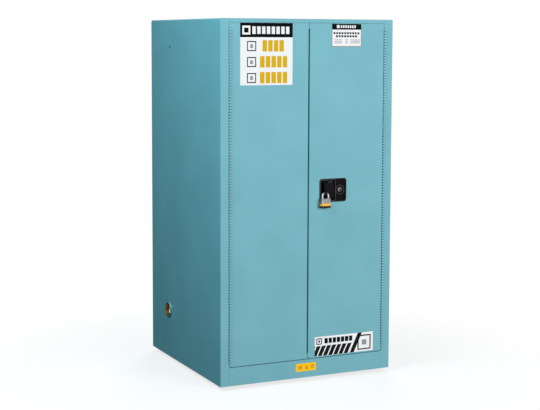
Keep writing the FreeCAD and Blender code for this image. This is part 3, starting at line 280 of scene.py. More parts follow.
drape.data.materials.append(drape_cloth)
print("drape of", len(drape.data.polygons), "quads")

# %% [markdown]
# ## Blue-green powder coat
# The case is steel sheet sprayed with dry powder and baked. It cures to an even semi-gloss film
# with a fine orange-peel ripple, about 2 mm from crest to crest on the real paint. A pixel here
# covers nearly 5 mm, so the ripple is drawn 7 mm wide to show at all, and the powder's speckle,
# a tenth of a millimetre on the real film, 2.4 mm wide. Thin sheet also wavers
# slightly over a hand's width or two, which bends its reflections, and that is a second, broad bump.
# Nobody wipes the top of a cabinet: faces that look up, by the height of their normal, lose their
# shine under a thin drift of dust.

# %% Powder coat
DUST_FROM, DUST_FULL = 0.6, 0.95
powder_coat, tree, shader, place = new_material("blue_green_powder_coat", Specular_IOR_Level=0.35)
facing = add(tree, "SeparateXYZ", {"Vector": add(tree, "NewGeometry").outputs["Normal"]}).outputs["Z"]
dust = add(tree, "MapRange", {"Value": facing, "From Min": DUST_FROM, "From Max": DUST_FULL})
shine = add(tree, "MapRange", {"Value": dust, "To Min": 0.35, "To Max": 0.0})
tone = add(tree, "TexNoise", {"Vector": place, "Scale": per_metre(200), "Detail": 3.0})
tint = add(tree, "ValToRGB", {"Fac": tone}, stops=((0.30, "#6AA5B1"), (0.70, "#71ACB8")))
speckle = add(tree, "TexNoise", {"Vector": place, "Scale": per_metre(2.38), "Detail": 2.0})
sparkle = add(tree, "MapRange", {"Value": speckle, "To Min": 0.0, "To Max": 0.10})
grain = add(tree, "Mix", {"Factor": sparkle, "A": tint, "B": linear("#86C2CC")}, data_type="RGBA")
drifts = add(tree, "TexNoise", {"Vector": place, "Scale": per_metre(38.5), "Detail": 6.0})
thin = add(tree, "MapRange", {"Value": drifts, "To Min": 0.0, "To Max": 0.35})
dusty = add(tree, "Math", {0: dust, 1: thin}, operation="MULTIPLY")
settled = add(tree, "Mix", {"Factor": dusty, "A": grain, "B": linear("#A9BDBF")}, data_type="RGBA")
gloss = add(tree, "TexNoise", {"Vector": place, "Scale": per_metre(111), "Detail": 4.0})
rough = add(tree, "MapRange", {"Value": gloss, "To Min": 0.30, "To Max": 0.44})
waver = add(tree, "TexNoise", {"Vector": place, "Scale": per_metre(167), "Detail": 0.0})
broad = add(tree, "Bump", {"Height": waver, "Strength": 0.35, "Distance": 0.0012})
peel = add(tree, "TexNoise", {"Vector": place, "Scale": per_metre(7.14), "Detail": 1.0})
fine = add(tree, "Bump", {"Height": peel, "Strength": 0.25, "Distance": 0.00012, "Normal": broad})
connect(shader, {"Base Color": settled, "Roughness": rough, "Specular IOR Level": shine, "Normal": fine})
print("made", powder_coat.name)

# %% [markdown]
# The hinge leaves are painted with the case, knuckles and all, but their teal is lighter than the
# case's: a painted highlight that offsets the shade in the gaps beside them. The slit between two
# knuckles is 0.4 mm wide, far too fine for this picture, so the material darkens a band of 4.4 mm at
# each one: height above the lowest knuckle, taken modulo the knuckle pitch, tells how near the slit is.

# %% Painted hinge
KNUCKLE_PITCH, HINGE_LOW, SLIT_BAND = 0.0127, 0.124, 0.0022
hinge_paint_with_painted_highlight, tree, shader, place = new_material("hinge_knuckles_with_painted_highlight", Specular_IOR_Level=0.35)
tone = add(tree, "TexNoise", {"Vector": place, "Scale": per_metre(200), "Detail": 3.0})
# A lighter teal than the case's paint: a painted highlight on the knuckles
tint = add(tree, "ValToRGB", {"Fac": tone}, stops=((0.30, "#84BDC9"), (0.70, "#8BC4D0")))
axes = add(tree, "SeparateXYZ", {"Vector": place}).outputs
above = add(tree, "Math", {0: axes["Z"], 1: HINGE_LOW - SLIT_BAND}, operation="SUBTRACT")
phase = add(tree, "Math", {0: above, 1: KNUCKLE_PITCH}, operation="FLOORED_MODULO")
near_slit = add(tree, "Math", {0: phase, 1: 2 * SLIT_BAND}, operation="LESS_THAN")
banded = add(tree, "Mix", {"Factor": near_slit, "A": tint, "B": linear("#1F4149")}, data_type="RGBA")
gloss = add(tree, "MapRange", {"Value": tone, "To Min": 0.34, "To Max": 0.46})
connect(shader, {"Base Color": banded, "Roughness": gloss})
print("made", hinge_paint_with_painted_highlight.name)

# %% [markdown]
# ## Finishes with one pattern
# Many finishes are one colour that drifts a little between close tones, with a shine that drifts
# along. One function makes them all, from the width of the drift in millimetres. Grit and mould
# grain are far finer than a pixel, so they are drawn a few millimetres wide to show at all.

# %% A mottled finish
def mottled(name, grain, detail, tones, shine, places=(0.3, 0.7), stretch=(1, 1, 1), relief=0.0,
            **constants):
    """Colour and roughness both follow one cloudy noise; relief is the height it stands up."""
    material, tree, shader, place = new_material(name, **constants)
    drawn = add(tree, "Mapping", {"Vector": place, "Scale": stretch})
    cloud = add(tree, "TexNoise", {"Vector": drawn, "Scale": per_metre(grain), "Detail": detail})
    colour = add(tree, "ValToRGB", {"Fac": cloud}, stops=tuple(zip(places, tones)))
    gloss = add(tree, "MapRange", {"Value": cloud, "To Min": shine[0], "To Max": shine[1]})
    connect(shader, {"Base Color": colour, "Roughness": gloss})
    if relief:
        bump = add(tree, "Bump", {"Height": cloud, "Strength": 0.3, "Distance": relief})
        connect(shader, {"Normal": bump})
    return material


print("one function for the plain finishes")

# %% [markdown]
# ## Bare and plated steel
# Shelves and latch parts are galvanised: zinc freezes into crystals, called spangle, 10 to 20 mm
# across, each with its own grey and its own gloss. A Voronoi texture gives every crystal one random
# value. Screws, pins and bullets are zinc plated instead, which is even and bluish, with fine marks
# from tumbling in the plating barrel. The brass vents and the grounding stud carry a yellow
# passivated coat, whose tone drifts between straw and brown.

# %% Galvanised, zinc plated and yellow passivated
galvanised, tree, shader, place = new_material("galvanised_steel_sheet", Metallic=0.6)
crystals = add(tree, "TexVoronoi", {"Vector": place, "Scale": per_metre(13.3), "Randomness": 1.0})
crystal = add(tree, "SeparateColor", {"Color": crystals.outputs["Color"]}).outputs
grey = add(tree, "ValToRGB", {"Fac": crystal["Red"]}, stops=((0.0, "#A9AEB1"), (1.0, "#C9CDCE")))
gloss = add(tree, "MapRange", {"Value": crystal["Green"], "To Min": 0.32, "To Max": 0.52})
frost = add(tree, "Bump", {"Height": crystals, "Strength": 0.15, "Distance": 0.0002})
connect(shader, {"Base Color": grey, "Roughness": gloss, "Normal": frost})
zinc_plate = mottled("bright_zinc_plated_steel", 3.13, 4, ("#AEB4BA", "#CDD1D4"), (0.22, 0.40),
                     stretch=(1, 1, 0.2), Metallic=1.0)
yellow_plate = mottled("yellow_passivated_brass", 22.2, 3, ("#9E8650", "#C2AB72", "#D2C49A"), (0.28, 0.46),
                       places=(0.25, 0.55, 0.8), Metallic=1.0)
print("made three platings")

# %% [markdown]
# ## The padlock's and the lock's metals
# A shackle is hardened steel. Its legs are bright and its crown is dark, a painted reflection of the
# dark room above it: the colour turns dark between two heights. The plates of the laminated body
# are cut from rolled sheet: fine level scratches, with upright light and dark patches in the colour,
# a painted sheen. The cylinder's nickel is worn by keys; over that, its face carries a painted
# highlight at the upper left that turns to brown painted shade to the lower right, and it is darker at the
# rim.

# %% Shackle, plates and cylinder
# The dark crown is a painted reflection: the colour turns dark between these two heights
PAINTED_REFLECTION_LOW, PAINTED_REFLECTION_HIGH = 0.858, 0.866
hard_steel, tree, shader, place = new_material("hardened_shackle_steel", Metallic=1.0)
height = add(tree, "SeparateXYZ", {"Vector": place}).outputs["Z"]
painted_reflection = add(tree, "MapRange", {"Value": height, "From Min": PAINTED_REFLECTION_LOW, "From Max": PAINTED_REFLECTION_HIGH})
steel_with_painted_reflection = add(tree, "ValToRGB", {"Fac": painted_reflection}, stops=((0.0, "#D6D4D4"), (1.0, "#4A4A4D")))
gloss = add(tree, "MapRange", {"Value": painted_reflection, "To Min": 0.16, "To Max": 0.30})
connect(shader, {"Base Color": steel_with_painted_reflection, "Roughness": gloss})

rolled_plates, tree, shader, place = new_material("laminated_rolled_steel", Metallic=0.55)
level_grain = add(tree, "Mapping", {"Vector": place, "Scale": (1, 1, 9)})
rolling = add(tree, "TexNoise", {"Vector": level_grain, "Scale": per_metre(3.85), "Detail": 4.0})
# Upright light and dark bands in the colour are a painted sheen, mixed with the level scratches
tall_sheen_stretch = add(tree, "Mapping", {"Vector": place, "Scale": (1, 1, 0.1)})
upright = add(tree, "TexNoise", {"Vector": tall_sheen_stretch, "Scale": per_metre(10.5), "Detail": 1.0})
painted_sheen = add(tree, "Mix", {"Factor": 0.3, "A": upright, "B": rolling})
plate_tone = add(tree, "ValToRGB", {"Fac": painted_sheen},
                 stops=((0.38, "#4E4F53"), (0.5, "#8D8E91"), (0.62, "#C6C5C7")))
gloss = add(tree, "MapRange", {"Value": rolling, "To Min": 0.26, "To Max": 0.42})
scratched = add(tree, "Bump", {"Height": rolling, "Strength": 0.2, "Distance": 0.0001})
connect(shader, {"Base Color": plate_tone, "Roughness": gloss, "Normal": scratched})

KEYHOLE_X, KEYHOLE_Z = 0.160, 0.8765
# The colour turns dark beyond this radius; a painted highlight at the upper left turns to painted shade by so
# much per metre towards the lower right
DARK_RIM_RADIUS, PAINTED_LIGHT_SLOPE = 0.0108, 32.0
worn_nickel, tree, shader, place = new_material("worn_nickel_plated_brass", Metallic=0.8)
off_key = add(tree, "Mapping", {"Vector": place, "Location": (-KEYHOLE_X, 0, -KEYHOLE_Z)})
worn = add(tree, "TexNoise", {"Vector": off_key, "Scale": per_metre(4.17), "Detail": 4.0})
painted_light_slope = add(tree, "VectorMath", {0: off_key, 1: (PAINTED_LIGHT_SLOPE, 0, -PAINTED_LIGHT_SLOPE)}, operation="DOT_PRODUCT")
wear_and_painted_light = add(tree, "Math", {0: worn, 1: painted_light_slope}, operation="ADD")
in_face = add(tree, "VectorMath", {0: off_key, 1: (1, 0, 1)}, operation="MULTIPLY")
from_axis = add(tree, "VectorMath", {0: in_face}, operation="LENGTH")
dark_rim = add(tree, "Math", {0: from_axis, 1: DARK_RIM_RADIUS}, operation="GREATER_THAN")
plating = add(tree, "ValToRGB", {"Fac": wear_and_painted_light},
              stops=((0.15, "#8A857E"), (0.5, "#635F5A"), (0.9, "#35322F")))
face_tone = add(tree, "Mix", {"Factor": dark_rim, "A": plating, "B": linear("#2B2A29")}, data_type="RGBA")
gloss = add(tree, "MapRange", {"Value": worn, "To Min": 0.30, "To Max": 0.48})
connect(shader, {"Base Color": face_tone, "Roughness": gloss})
print("made three worn metals")

# %% [markdown]
# ## Plastics and coatings
# The handle housing is moulded ABS with a spark-eroded grain, which keeps it from shining. The
# paddle is die-cast zinc under a black satin coat, smoother than the housing, so the two blacks
# part in the light. The sump tray is blown polyethylene, waxy and slightly clouded. Latch guides
# are nylon, and the padlock's band is glossy vinyl.

# %% Plastics and coatings
black_moulding = mottled("black_grained_abs", 1.43, 2, ("#060607", "#0D0E0E"), (0.42, 0.58), relief=0.0001,
                         Specular_IOR_Level=0.07)
black_coat = mottled("black_satin_coated_casting", 3.85, 3, ("#050506", "#0B0C0C"), (0.34, 0.46),
                     Specular_IOR_Level=0.10)
nylon = mottled("white_nylon", 11.1, 2, ("#DCD9CF", "#EAE8E0"), (0.35, 0.50), Subsurface_Weight=0.1,
                Subsurface_Scale=0.002)
polyethylene = mottled("blue_polyethylene", 71.4, 4, ("#7FA7C4", "#93B8D0"), (0.38, 0.56),
                       Subsurface_Weight=0.12, Subsurface_Scale=0.004)
yellow_vinyl = mottled("glossy_yellow_vinyl", 16.7, 2, ("#E9A51C", "#F6B92E"), (0.26, 0.36),
                       Coat_Weight=0.2, Coat_Roughness=0.1)
rubber = mottled("black_nitrile_rubber", 5.56, 3, ("#161616", "#242423"), (0.62, 0.78),
                 Specular_IOR_Level=0.3)
print("made six plastics and coatings")

# %% [markdown]
# ## Vent sleeves in two finishes
# A sleeve is brass, but its raised lip was sprayed with the case, so the paint runs up the lip and
# stops at the bore. The lip's teal is drawn darker than the case's, a painted shade. Down the bore
# the brass goes dark, a painted shade where little light reaches. One material does it all: a point
# shows paint where it lies outside the case and further from the vent's axis than the bore. Folding
# the height about the middle of both vents lets one formula serve the low vent on the left and the
# high one on the right.

# %% Vent sleeve
VENT_BACK, VENT_LOW, VENT_HIGH = FRONT + 0.636, 0.250, 1.420
BORE_RADIUS = 0.033
PAINT_EDGE = 0.0004
BORE_DARK, BORE_BRIGHT = HALF - 0.012, HALF + 0.002
sleeve_finish, tree, shader, place = new_material("brass_with_painted_lip")
VENTS_MIDDLE = (0, VENT_BACK, (VENT_LOW + VENT_HIGH) / 2)
from_middle = add(tree, "VectorMath", {0: place, 1: VENTS_MIDDLE}, operation="SUBTRACT")
folded = add(tree, "VectorMath", {0: from_middle}, operation="ABSOLUTE")
outward = add(tree, "SeparateXYZ", {"Vector": folded})
outside = add(tree, "Math", {0: outward, 1: HALF - PAINT_EDGE}, operation="GREATER_THAN")
offset = add(tree, "VectorMath", {0: folded, 1: (0, 0, (VENT_HIGH - VENT_LOW) / 2)}, operation="SUBTRACT")
across_axis = add(tree, "VectorMath", {0: offset, 1: (0, 1, 1)}, operation="MULTIPLY")
off_axis = add(tree, "VectorMath", {0: across_axis}, operation="LENGTH")
past_bore = add(tree, "Math", {0: off_axis, 1: BORE_RADIUS + PAINT_EDGE}, operation="GREATER_THAN")
painted = add(tree, "Math", {0: outside, 1: past_bore}, operation="MULTIPLY")
drift = add(tree, "TexNoise", {"Vector": place, "Scale": per_metre(22.2), "Detail": 3.0})
depth = add(tree, "MapRange", {"Value": outward, "From Min": BORE_DARK, "From Max": BORE_BRIGHT})
shade = add(tree, "ValToRGB", {"Fac": depth}, stops=((0.0, "#2A2014"), (0.6, "#8E7644"), (1.0, "#C2AB72")))
# The lip's teal, darker than the case's paint, is a painted shade
lip = add(tree, "ValToRGB", {"Fac": drift}, stops=((0.3, "#4F8C99"), (0.7, "#56949F")))
skin = add(tree, "Mix", {"Factor": painted, "A": shade, "B": lip}, data_type="RGBA")
metal = add(tree, "MapRange", {"Value": painted, "To Min": 1.0, "To Max": 0.0})
gloss = add(tree, "MapRange", {"Value": drift, "To Min": 0.30, "To Max": 0.44})
connect(shader, {"Base Color": skin, "Metallic": metal, "Roughness": gloss})
print("made", sleeve_finish.name)

# %% [markdown]
# ## Woven flame screens
# A flame screen is two layers of fine stainless cloth. Real cloth of 0.4 mm wire can't be seen from
# here, so it is drawn with wires 3 mm apart: two band waves at right angles make the wires, and the
# darker places between them are the holes.

# %% Flame screen
# A wave texture runs through 20 radians for each unit of its scaled coordinate
WIRE_PITCH, WAVE_RADIANS = 0.003, 20
screen_cloth, tree, shader, place = new_material("woven_stainless_cloth", Metallic=1.0)
wave_scale = 2 * math.pi / (WAVE_RADIANS * WIRE_PITCH)
warp, weft = (add(tree, "TexWave", {"Vector": place, "Scale": wave_scale}, bands_direction=way).outputs["Fac"]
              for way in ("Y", "Z"))
wires = add(tree, "Math", {0: warp, 1: weft}, operation="MAXIMUM")
steel = add(tree, "ValToRGB", {"Fac": wires}, stops=((0.35, "#1C1D1E"), (0.75, "#A7A9AB")))
gloss = add(tree, "MapRange", {"Value": wires, "To Min": 0.7, "To Max": 0.3})
connect(shader, {"Base Color": steel, "Roughness": gloss})
print("made", screen_cloth.name)

# %% [markdown]
# ## Which piece gets which finish
# The record that came with the solids names a finish for every piece. One table turns those names
# into the materials above, and a second one gives nine pieces a finish of their own.

# %% Dress the CAD nodes
FINISHES = {
    "blue_green_paint": powder_coat, "galvanised_steel": galvanised, "plated_steel": zinc_plate,
    "yellow_plated_metal": yellow_plate, "chromed_metal": worn_nickel, "black_moulding": black_moulding,
    "black_cast_metal": black_coat, "white_nylon": nylon, "blue_polyethylene": polyethylene,
    "laminated_steel": rolled_plates, "yellow_vinyl": yellow_vinyl,
}
for subpart in frame["record"]["subparts"]:
    mesh = NODES[subpart["node"]].data
    mesh.materials.clear()
    mesh.materials.append(FINISHES[subpart["material_slot"]])
own_finish = {"vent_flame_screens": screen_cloth, "padlock_shackle": hard_steel, "paddle_pin": black_coat}
for side in ("left", "right"):
    own_finish[side + "_vent_sleeve"] = sleeve_finish
    for leaf in ("_hinge_frame_leaf", "_hinge_door_leaf"):
        own_finish[side + leaf] = hinge_paint_with_painted_highlight
for name, finish in own_finish.items():
    NODES[name].data.materials.clear()
    NODES[name].data.materials.append(finish)
print("dressed", len(NODES), "nodes")

# %% [markdown]
# ## Sheets and turned shapes as surfaces
# Every new piece is a grid of points worked out in one go from a formula in two parameters. The
# grid becomes quads by pairing each point with its neighbours, and it may close on itself in either
# direction, as a ring does.

# %% Surface helpers
CREASE = math.radians(35)


def gathered(points, faces, distance):
    """A bmesh of these points and faces, with points closer than the distance made one."""
    loose = bpy.data.meshes.new("loose")
    loose.from_pydata(points.tolist(), [], faces.tolist())
    shape = bmesh.new()
    shape.from_mesh(loose)
    bpy.data.meshes.remove(loose)
    bmesh.ops.remove_doubles(shape, verts=shape.verts, dist=distance)
    return shape


def riding(shape, name, material, body, smooth=True):
    """The object of a bmesh, smooth but for edges past the crease angle, that rides on a body."""
    mesh = bpy.data.meshes.new(name)
    shape.to_mesh(mesh)
    shape.free()
    if smooth:
        mesh.shade_smooth()
        mesh.set_sharp_from_angle(angle=CREASE)
    for entry in (material if isinstance(material, list) else [material]):
        mesh.materials.append(entry)
    piece = placed(name, mesh)
    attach(piece, body)
    return piece


def surface(name, points, material, body, ring=True, loop=False, smooth=True, copies=((0, 0, 0),)):
    """A mesh from a grid of points; ring joins its last column to the first, loop its rows.

    The grid is repeated at each offset in copies, all in one mesh.
    """
    rows, columns = points.shape[:2]
    index = np.arange(rows * columns).reshape(rows, columns)
    row = np.arange(rows if loop else rows - 1)
    column = np.arange(columns if ring else columns - 1)
    after_row = (row + 1) % rows
    after_column = (column + 1) % columns
    quads = np.stack((index[np.ix_(row, column)], index[np.ix_(row, after_column)],
                      index[np.ix_(after_row, after_column)], index[np.ix_(after_row, column)]), axis=-1)
    offsets = np.array(copies, float)
    everywhere = points.reshape(-1, 3) + offsets[:, None, :]
    numbered = quads.reshape(-1, 4) + (np.arange(len(offsets)) * rows * columns)[:, None, None]
    shape = gathered(everywhere.reshape(-1, 3), numbered.reshape(-1, 4), 1e-6)
    bmesh.ops.dissolve_degenerate(shape, edges=shape.edges, dist=1e-7)
    bmesh.ops.recalc_face_normals(shape, faces=shape.faces)
    return riding(shape, name, material, body, smooth)


def thickened(piece, thickness, offset):
    """Turn a flat sheet to the front and give it a wall, in front of it at offset 1, behind at -1."""
    if piece.data.polygons[0].normal.y > 0:
        piece.data.flip_normals()
    wall = piece.modifiers.new("thickness", "SOLIDIFY")
    wall.thickness = thickness
    wall.offset = offset


def spokes_about(axis, steps):
    """Angles t round an axis, and the unit vectors there: cos t * side + sin t * other."""
    side = np.cross(axis, (0, 0, 1) if abs(axis[2]) < 0.9 else (1, 0, 0))
    side = side / np.linalg.norm(side)
    angle = np.linspace(0, 2 * math.pi, steps, endpoint=False)
    return angle, np.cos(angle)[:, None] * side + np.sin(angle)[:, None] * np.cross(axis, side)


def lathe(name, profile, centre, axis, material, body, steps=32, loop=False, copies=((0, 0, 0),)):
    """Turned shape: centre + radius * spoke + height * axis for each (radius, height) of a profile."""
    spokes = spokes_about(axis, steps)[1]
    radius, height = np.array(profile, float).T[:, :, None, None]
    points = np.array(centre) + radius * spokes + height * np.array(axis, float)
    return surface(name, points, material, body, loop=loop, copies=copies)


def merged_copy(node, bevel):
    """A copy of a CAD node with its loose triangles joined, its edges rounded, in its own finish."""
    source = NODES[node].data
    points = np.empty(len(source.vertices) * 3)
    source.vertices.foreach_get("co", points)
    corners = np.empty(len(source.loops), int)
    source.loops.foreach_get("vertex_index", corners)
    shape = gathered(points.reshape(-1, 3), corners.reshape(-1, 3), 2e-6)
    bmesh.ops.dissolve_limit(shape, angle_limit=math.radians(1), verts=shape.verts, edges=shape.edges)
    piece = riding(shape, node + "_finished", source.materials[0], NODES[node]["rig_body"])
    if bevel:
        rounding = piece.modifiers.new("rounded_edges", "BEVEL")
        rounding.width = bevel
        rounding.segments = 2
        rounding.limit_method = "ANGLE"
        rounding.angle_limit = math.radians(30)
        rounding.harden_normals = True
    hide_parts(node)
    return piece


print("surface helpers ready")

# %% [markdown]
# ## Printed cards
# Four cards of printed film are stuck on the doors and the sill. They are 0.3 mm thick, and their
# print is blocks of flat ink: a dark heading, framed squares and bars. A card is a grid whose lines
# run along the edges of its blocks, so each cell takes exactly one ink, and from a few steps away
# the blocks give the card its rhythm of dark and light.

# %% Inks
white_film = mottled("white_vinyl_film", 5, 2, ("#DCDEE0", "#E3E5E7"), (0.34, 0.46), Specular_IOR_Level=0.4)
amber_film, black_ink, ochre_ink, grey_ink, red_ink, dull_ink = (
    mottled(name, 4.17, 2, (dark, light), (0.36, 0.50), Specular_IOR_Level=shine)
    for name, dark, light, shine in (
        ("amber_vinyl_film", "#FFC004", "#FFCA12", 0.10), ("black_screen_ink", "#040405", "#0A0A0B", 0.05),
        ("ochre_screen_ink", "#C69E06", "#D0A80E", 0.08), ("grey_screen_ink", "#7E8487", "#8E9497", 0.3),
        ("red_screen_ink", "#A8453C", "#B5534A", 0.3), ("dull_amber_ink", "#CE9A2C", "#D8A43A", 0.10)))
INKS = [white_film, black_ink, ochre_ink, grey_ink, red_ink, amber_film, dull_ink]
WHITE, BLACK, OCHRE, GREY, RED, AMBER, DULL = range(7)
print("seven inks")


# %% Card maker
# Thickness of the film, and how far its back stands off the paint
FILM, LIFT = 0.0003, 0.00005


def card(name, box, blocks, base, body):
    """Printed card: a grid cut at the blocks' edges, each cell inked by the last block over it.

    box and blocks are (left, right, low, high) in millimetres; a block adds its ink at the end.
    """
    left, right, low, high = box
    lines_x = np.unique([left, right] + [edge for entry in blocks for edge in entry[:2]]) * MM
    lines_z = np.unique([low, high] + [edge for entry in blocks for edge in entry[2:4]]) * MM
    x, z = np.meshgrid(lines_x, lines_z)
    points = np.stack((x, np.full_like(x, FRONT - LIFT), z), axis=-1)
    piece = surface(name, points, INKS, body, ring=False, smooth=False)
    middle_x = (x[:-1, :-1] + x[1:, 1:]) / 2
    middle_z = (z[:-1, :-1] + z[1:, 1:]) / 2
    inks = np.full(middle_x.shape, base)
    for start, end, bottom, top, colour in blocks:
        inside = (middle_x > start * MM) & (middle_x < end * MM)
        inks[inside & (middle_z > bottom * MM) & (middle_z < top * MM)] = colour
    piece.data.polygons.foreach_set("material_index", inks.astype(np.int32).ravel())
    thickened(piece, FILM, 1)
    return piece


def framed_square(left, low, size, line, colour):
    """A square outline as two blocks: the outer one in ink, the inner one in white."""
    return [(left, left + size, low, low + size, colour),
            (left + line, left + size - line, low + line, low + size - line, WHITE)]


# %% Cards on the doors and the sill
def word(left, right, low, high, count, colour, gap=6):
    """A row of equal blocks with gaps, with the weight of a printed word."""
    pitch = (right - left + gap) / count
    starts = [left + pitch * number for number in range(count)]
    return [(start, start + pitch - gap, low, high, colour) for start in starts]


LEFT_CARD = (-338.5, -83.5, 1358, 1631.5)
blocks = [(-338.5, -83.5, 1568.5, 1631.5, BLACK), (-329, -290, 1580, 1619, WHITE),
          (-320, -299, 1589, 1610, BLACK)]
blocks += word(-281, -100, 1583, 1616, 8, WHITE, 7)
for low, left, right, count in ((1508, -231, -127, 4), (1438, -243, -110, 5), (1368, -243, -110, 5)):
    blocks += framed_square(-306, low, 44, 4.5, BLACK)
    blocks.append((-291, -277, low + 13, low + 30, GREY))
    blocks += word(left, right, low - 2, low + 48, count, OCHRE)
card("left_card", LEFT_CARD, blocks, WHITE, "left_door")

RIGHT_CARD = (114.5, 265, 1528.5, 1630.5)
blocks = [(114.5, 265, 1604.5, 1630.5, BLACK), (139, 153, 1611, 1625, WHITE),
          (114.5, 116.5, 1528.5, 1604.5, RED), (263, 265, 1528.5, 1604.5, RED),
          (114.5, 265, 1528.5, 1530.5, RED)]
blocks += word(159, 236, 1612, 1624, 7, WHITE, 4)
for left, right, low, count in ((122, 255, 1584, 10), (134, 243, 1570, 8)):
    blocks += word(left, right, low, low + 9, count, BLACK, 4)
for left, right in ((126, 166), (182, 196), (208, 258)):
    blocks += [(left, right, low, low + 3, GREY) for low in (1543, 1550, 1557)]
card("right_card", RIGHT_CARD, blocks, WHITE, "right_door")

SILL_CARD = (-58.5, 44.5, 48.5, 84.5)
blocks = [(-48, -24, 58, 76, DULL), (-12, 5, 55, 74, DULL), (17, 36, 58, 77, DULL)]
card("sill_card", SILL_CARD, blocks, AMBER, "cabinet")
print("three cards")

# %% [markdown]
# The low card carries a band of slanting strokes. They aren't aligned with any grid, so they are
# printed by the material: distance across the strokes, taken modulo their pitch, is ink or film.

# %% Striped card
STROKE_PITCH, STROKE_LEAN, INKED_SHARE = 0.027, -0.48, 0.78
BAND_TOP, BAND_RIGHT = 0.157, 0.160
THICK_MIDDLE, THICK_HALF = 0.178, 0.011
striped_film, tree, shader, place = new_material("white_film_with_slanting_strokes",
                                                 Specular_IOR_Level=0.12)
axes = add(tree, "SeparateXYZ", {"Vector": place}).outputs
slant = add(tree, "Math", {0: axes["Z"], 1: STROKE_LEAN, 2: axes["X"]}, operation="MULTIPLY_ADD")
phase = add(tree, "Math", {0: slant, 1: STROKE_PITCH}, operation="FLOORED_MODULO")
stroke = add(tree, "Math", {0: phase, 1: STROKE_PITCH * INKED_SHARE}, operation="LESS_THAN")
low_band = add(tree, "Math", {0: axes["Z"], 1: BAND_TOP}, operation="LESS_THAN")
left_part = add(tree, "Math", {0: slant, 1: BAND_RIGHT}, operation="LESS_THAN")
band = add(tree, "Math", {0: low_band, 1: left_part}, operation="MULTIPLY")
thin = add(tree, "Math", {0: stroke, 1: band}, operation="MULTIPLY")
thick = add(tree, "Math", {0: slant, 1: THICK_MIDDLE, 2: THICK_HALF}, operation="COMPARE")
inked = add(tree, "Math", {0: thin, 1: thick}, operation="MAXIMUM")
print_tone = add(tree, "Mix", {"Factor": inked, "A": linear("#E8EAEC"), "B": linear("#060607")},
                 data_type="RGBA")
fibre = add(tree, "TexNoise", {"Vector": place, "Scale": per_metre(5), "Detail": 2.0})
gloss = add(tree, "MapRange", {"Value": fibre, "To Min": 0.34, "To Max": 0.46})
connect(shader, {"Base Color": print_tone, "Roughness": gloss})
striped = card("striped_card", (37.5, 344, 111, 200.5), word(88, 234, 167, 191, 7, BLACK, 4)
               + framed_square(46, 164, 29, 4.5, BLACK) + [(56, 66, 174, 183, BLACK)]
               + framed_square(262, 119, 70, 6, BLACK) + [(285, 309, 142, 166, GREY)], WHITE, "right_door")
striped.data.materials[WHITE] = striped_film
print("striped card, strokes every %.0f mm" % (STROKE_PITCH / MM))

# %% [markdown]
# ## Rounded corners under the doors
# The lower corners of the door faces are rounded, and the sheet behind follows them: a small web
# fills each corner and leaves only a thin line. A web is a fan of quads between the corner point and
# a quarter ellipse, centre + (a cos t, b sin t). The two outer webs belong to the case, and the one
# at the meeting edge is a tab of the left door.

# %% Corner webs
CORNER_RADIUS, DOOR_LOW, SILL_TOP = 0.016, 0.1047, 0.1015
WEB_X, WEB_GAP, WEB_FACE, WEB_THICK, WEB_STEPS = 0.3906, 0.0006, FRONT + 0.0002, 0.0012, 12


def corner_web(name, corner_x, side, low, line, drop, body):
    """Web in a lower corner; side is +1 when the corner is to the right of the door."""
    turn = np.linspace(0, math.pi / 2, WEB_STEPS)
    across = corner_x - side * (CORNER_RADIUS + WEB_GAP)
    across = across + side * (CORNER_RADIUS + line * np.sin(turn) + WEB_GAP) * np.cos(turn)
    up = DOOR_LOW + CORNER_RADIUS - (CORNER_RADIUS + drop) * np.sin(turn)
    arc = np.stack((across, np.full(WEB_STEPS, WEB_FACE), up), axis=-1)
    point = np.broadcast_to((corner_x, WEB_FACE, low), arc.shape)
    web = surface(name, np.stack((point, arc)), powder_coat, body, ring=False, smooth=False)
    thickened(web, WEB_THICK, -1)


corner_web("corner_web_left", -WEB_X, -1, SILL_TOP, 0.0022, 0.0032, "cabinet")
corner_web("corner_web_right", WEB_X, 1, SILL_TOP, 0.0022, 0.0032, "cabinet")
corner_web("corner_web_meeting", -0.0004, -1, DOOR_LOW, 0.0034, 0.0012, "left_door")
print("three webs")

# %% [markdown]
# ## Handle
# The housing and the paddle are moulded and cast, so their edges are softly rounded. Each is a
# merged copy of its CAD node with a small bevel, which then stands in for the node, and the
# padlock's pieces and the rod guides are finished the same way. The housing also has thin raised
# lines round its rim, its paddle bay and its lock, where light catches: a half-round bead carried
# along a rounded rectangle or a circle, in a grey lighter than the housing, a painted highlight.

# %% Housing, paddle and lock
for node, rounding in (("handle_housing", 0.0006), ("paddle", 0.0007), ("padlock_shackle", 0.0),
                       ("padlock_body", 0.0004), ("padlock_bumper", 0.0005), ("rod_guides", 0.0005)):
    copy = merged_copy(node, rounding)
    print(node, len(copy.data.polygons), "faces")

CYLINDER_PLACE = (KEYHOLE_X, FRONT, KEYHOLE_Z)
ring_profile = ((0.00655, -0.0030), (0.0117, -0.0030), (0.0125, -0.0022), (0.0125, -0.0010),
                (0.0100, -0.0010), (0.0100, 0.0240), (0.00655, 0.0240))
cylinder = lathe("lock_cylinder_turned", ring_profile, CYLINDER_PLACE, (0, 1, 0), worn_nickel, "right_door",
                 48, loop=True)
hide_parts("lock_cylinder")
